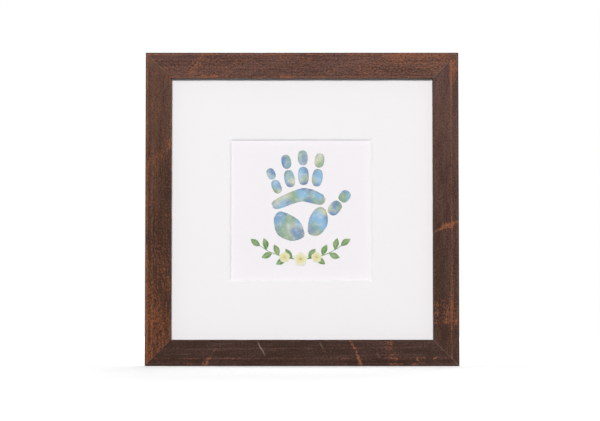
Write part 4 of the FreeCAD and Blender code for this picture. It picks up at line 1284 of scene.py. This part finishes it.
# %% Metal finishes
def metal(name, bright, dull, roughness, along=60.0):
    """A finish for stamped metal: streaks along X, patches of two colours, and smudges that dull it."""
    material, tree = new_material(name, Metallic=1.0)
    place = object_place(tree)
    brushed = place_group(streaks, place, Along=along, Across=2600.0)
    handled = place_group(handling, place, Size=90.0)
    share = brushed["Streak"] * 0.35 + handled["Smudge"] * 0.65
    rough = brushed["Speckle"] * 0.10 + handled["Smudge"] * 0.12 + roughness
    relief = brushed["Streak"] - handled["Scratch"] * 0.8
    connect(tree, blend(share, srgb(*bright), srgb(*dull)), rough, relief, 0.01 * MM)
    return material


zinc = metal("zinc_plate", (206, 205, 202), (178, 176, 168), 0.30)
bright_steel = metal("bright_steel", (214, 213, 210), (182, 180, 176), 0.24)
nail_metal = metal("dull_steel", (176, 174, 170), (132, 126, 118), 0.36)
hanger_metal = metal("yellowed_steel", (196, 190, 172), (164, 154, 130), 0.30)
brass = metal("rubbed_brass", (214, 184, 118), (168, 132, 70), 0.28, along=90.0)
turn_buttons = [f"turn_button_{side}_{level}" for side in ("left", "right") for level in ("lower", "upper")]
for material, rounding, *nodes in (
    (zinc, 0.12, "panel_hinge_leaf", "leg_hinge_leaf"), (hanger_metal, 0.12, "sawtooth_hanger"),
    (bright_steel, 0.15, "hinge_pin"), (bright_steel, 0.2, "turn_button_screws"),
    (nail_metal, 0.0, "corner_nails"), (brass, 0.18, *turn_buttons),
):
    for node in nodes:
        dress(node, material, rounding * MM)
print("metal dressed")

# %% [markdown]
# Rivets, nail heads and the rubber bumpers are round, so they are turned: an outline of radius and
# depth sweeps once about its own axis. The outline is drawn with its mirror image, so that the same
# rounding of corners serves it, and its half with a positive radius is kept.


# %% Turned pieces
def turned(corners, radii, x, z, steps=48):
    """A closed skin, swept about a line from front to back through x and z. corners are (radius, depth)
    from the hidden end to the far end."""
    corners, radii = np.array(corners), np.array(radii)
    mirrored = np.vstack([corners, corners[::-1] * (-1, 1)])
    outline = rounded_outline(mirrored, np.concatenate([radii, radii[::-1]]))
    outline = outline[outline[:, 0] > 0.001 * MM]
    sweep = full_turn(steps)
    radius, depth = outline[:, :1], outline[:, 1:]
    rings = np.stack([x + radius * np.cos(sweep), depth + 0 * sweep, z + radius * np.sin(sweep)], axis=-1)
    return shell(rings, (x, outline[0, 1], z), (x, outline[-1, 1], z))


def round_pair(node, shank, head_height, shape):
    """Two turned pieces where a CAD node has a pair of round ones. shape gives the outline's corners and
    radii from the head's radius, its seat and its crown."""
    lowest, highest = low(node), high(node)
    head = (highest[2] - lowest[2]) / 2
    place_x, place_z = highest[0] - head, (highest[2] + lowest[2]) / 2
    corners, radii = shape(head, shank, lowest[1], highest[1] - head_height, highest[1])
    return joined([turned(corners, radii, side * place_x, place_z) for side in (-1, 1)])


def rivet_outline(head, shank, tail, seat, crown):
    """A rivet: a straight shank, and a domed head with a small dimple in its crown."""
    corners = (
        (shank, tail), (shank, seat), (head, seat), (head, seat + 0.3 * (crown - seat)), (0.6 * head, crown),
        (0.22 * head, crown), (0.11 * head, crown - 0.1 * MM),
    )
    return corners, np.array((0.1, 0.02, 0.08, 0.2, 0.9, 0.08, 0.08)) * MM


def bumper_outline(head, shank, tail, seat, crown):
    """A rubber foot: a flange, a side that leans in, a round rim and a dished middle."""
    corners = (
        (head, tail), (head, tail + 0.9 * MM), (head - 0.35 * MM, tail + 1.1 * MM), (head - 0.8 * MM, crown),
        (0.42 * head, crown), (0.3 * head, crown - 0.9 * MM),
    )
    return corners, np.array((0.25, 0.2, 0.3, 1.1, 0.3, 0.4)) * MM


for name, node, body, slot, shank, material in (
    ("domed_panel_rivets", "panel_rivets", "frame", "rivet_steel", 1.18, bright_steel),
    ("domed_leg_rivets", "leg_rivets", "easel_leg", "rivet_steel", 1.18, bright_steel),
    ("hanger_nail_heads", "hanger_nails", "frame", "nail_steel", 0.78, nail_metal),
):
    new_piece(name, *round_pair(node, shank * MM, 0.7 * MM, rivet_outline), material, body, slot, [node])
print("turned pieces ready")

# %% Rubber
rubber, tree = new_material("black_rubber", Specular_IOR_Level=0.35)
place = object_place(tree)
grit = noise(place, 2600.0, 4.0, 0.7)
dust = place_group(handling, place, Size=260.0)["Smudge"] * 0.5
connect(tree, blend(dust, srgb(38, 38, 40), srgb(74, 72, 70)), grit * 0.3 + 0.5, grit, 0.03 * MM, 0.8)
new_piece("rubber_bumpers", *round_pair("wall_bumpers", 0.0, 0.0, bumper_outline), rubber, "frame",
          "bumper_rubber", ["wall_bumpers"])

# %% Close
print("cells run")
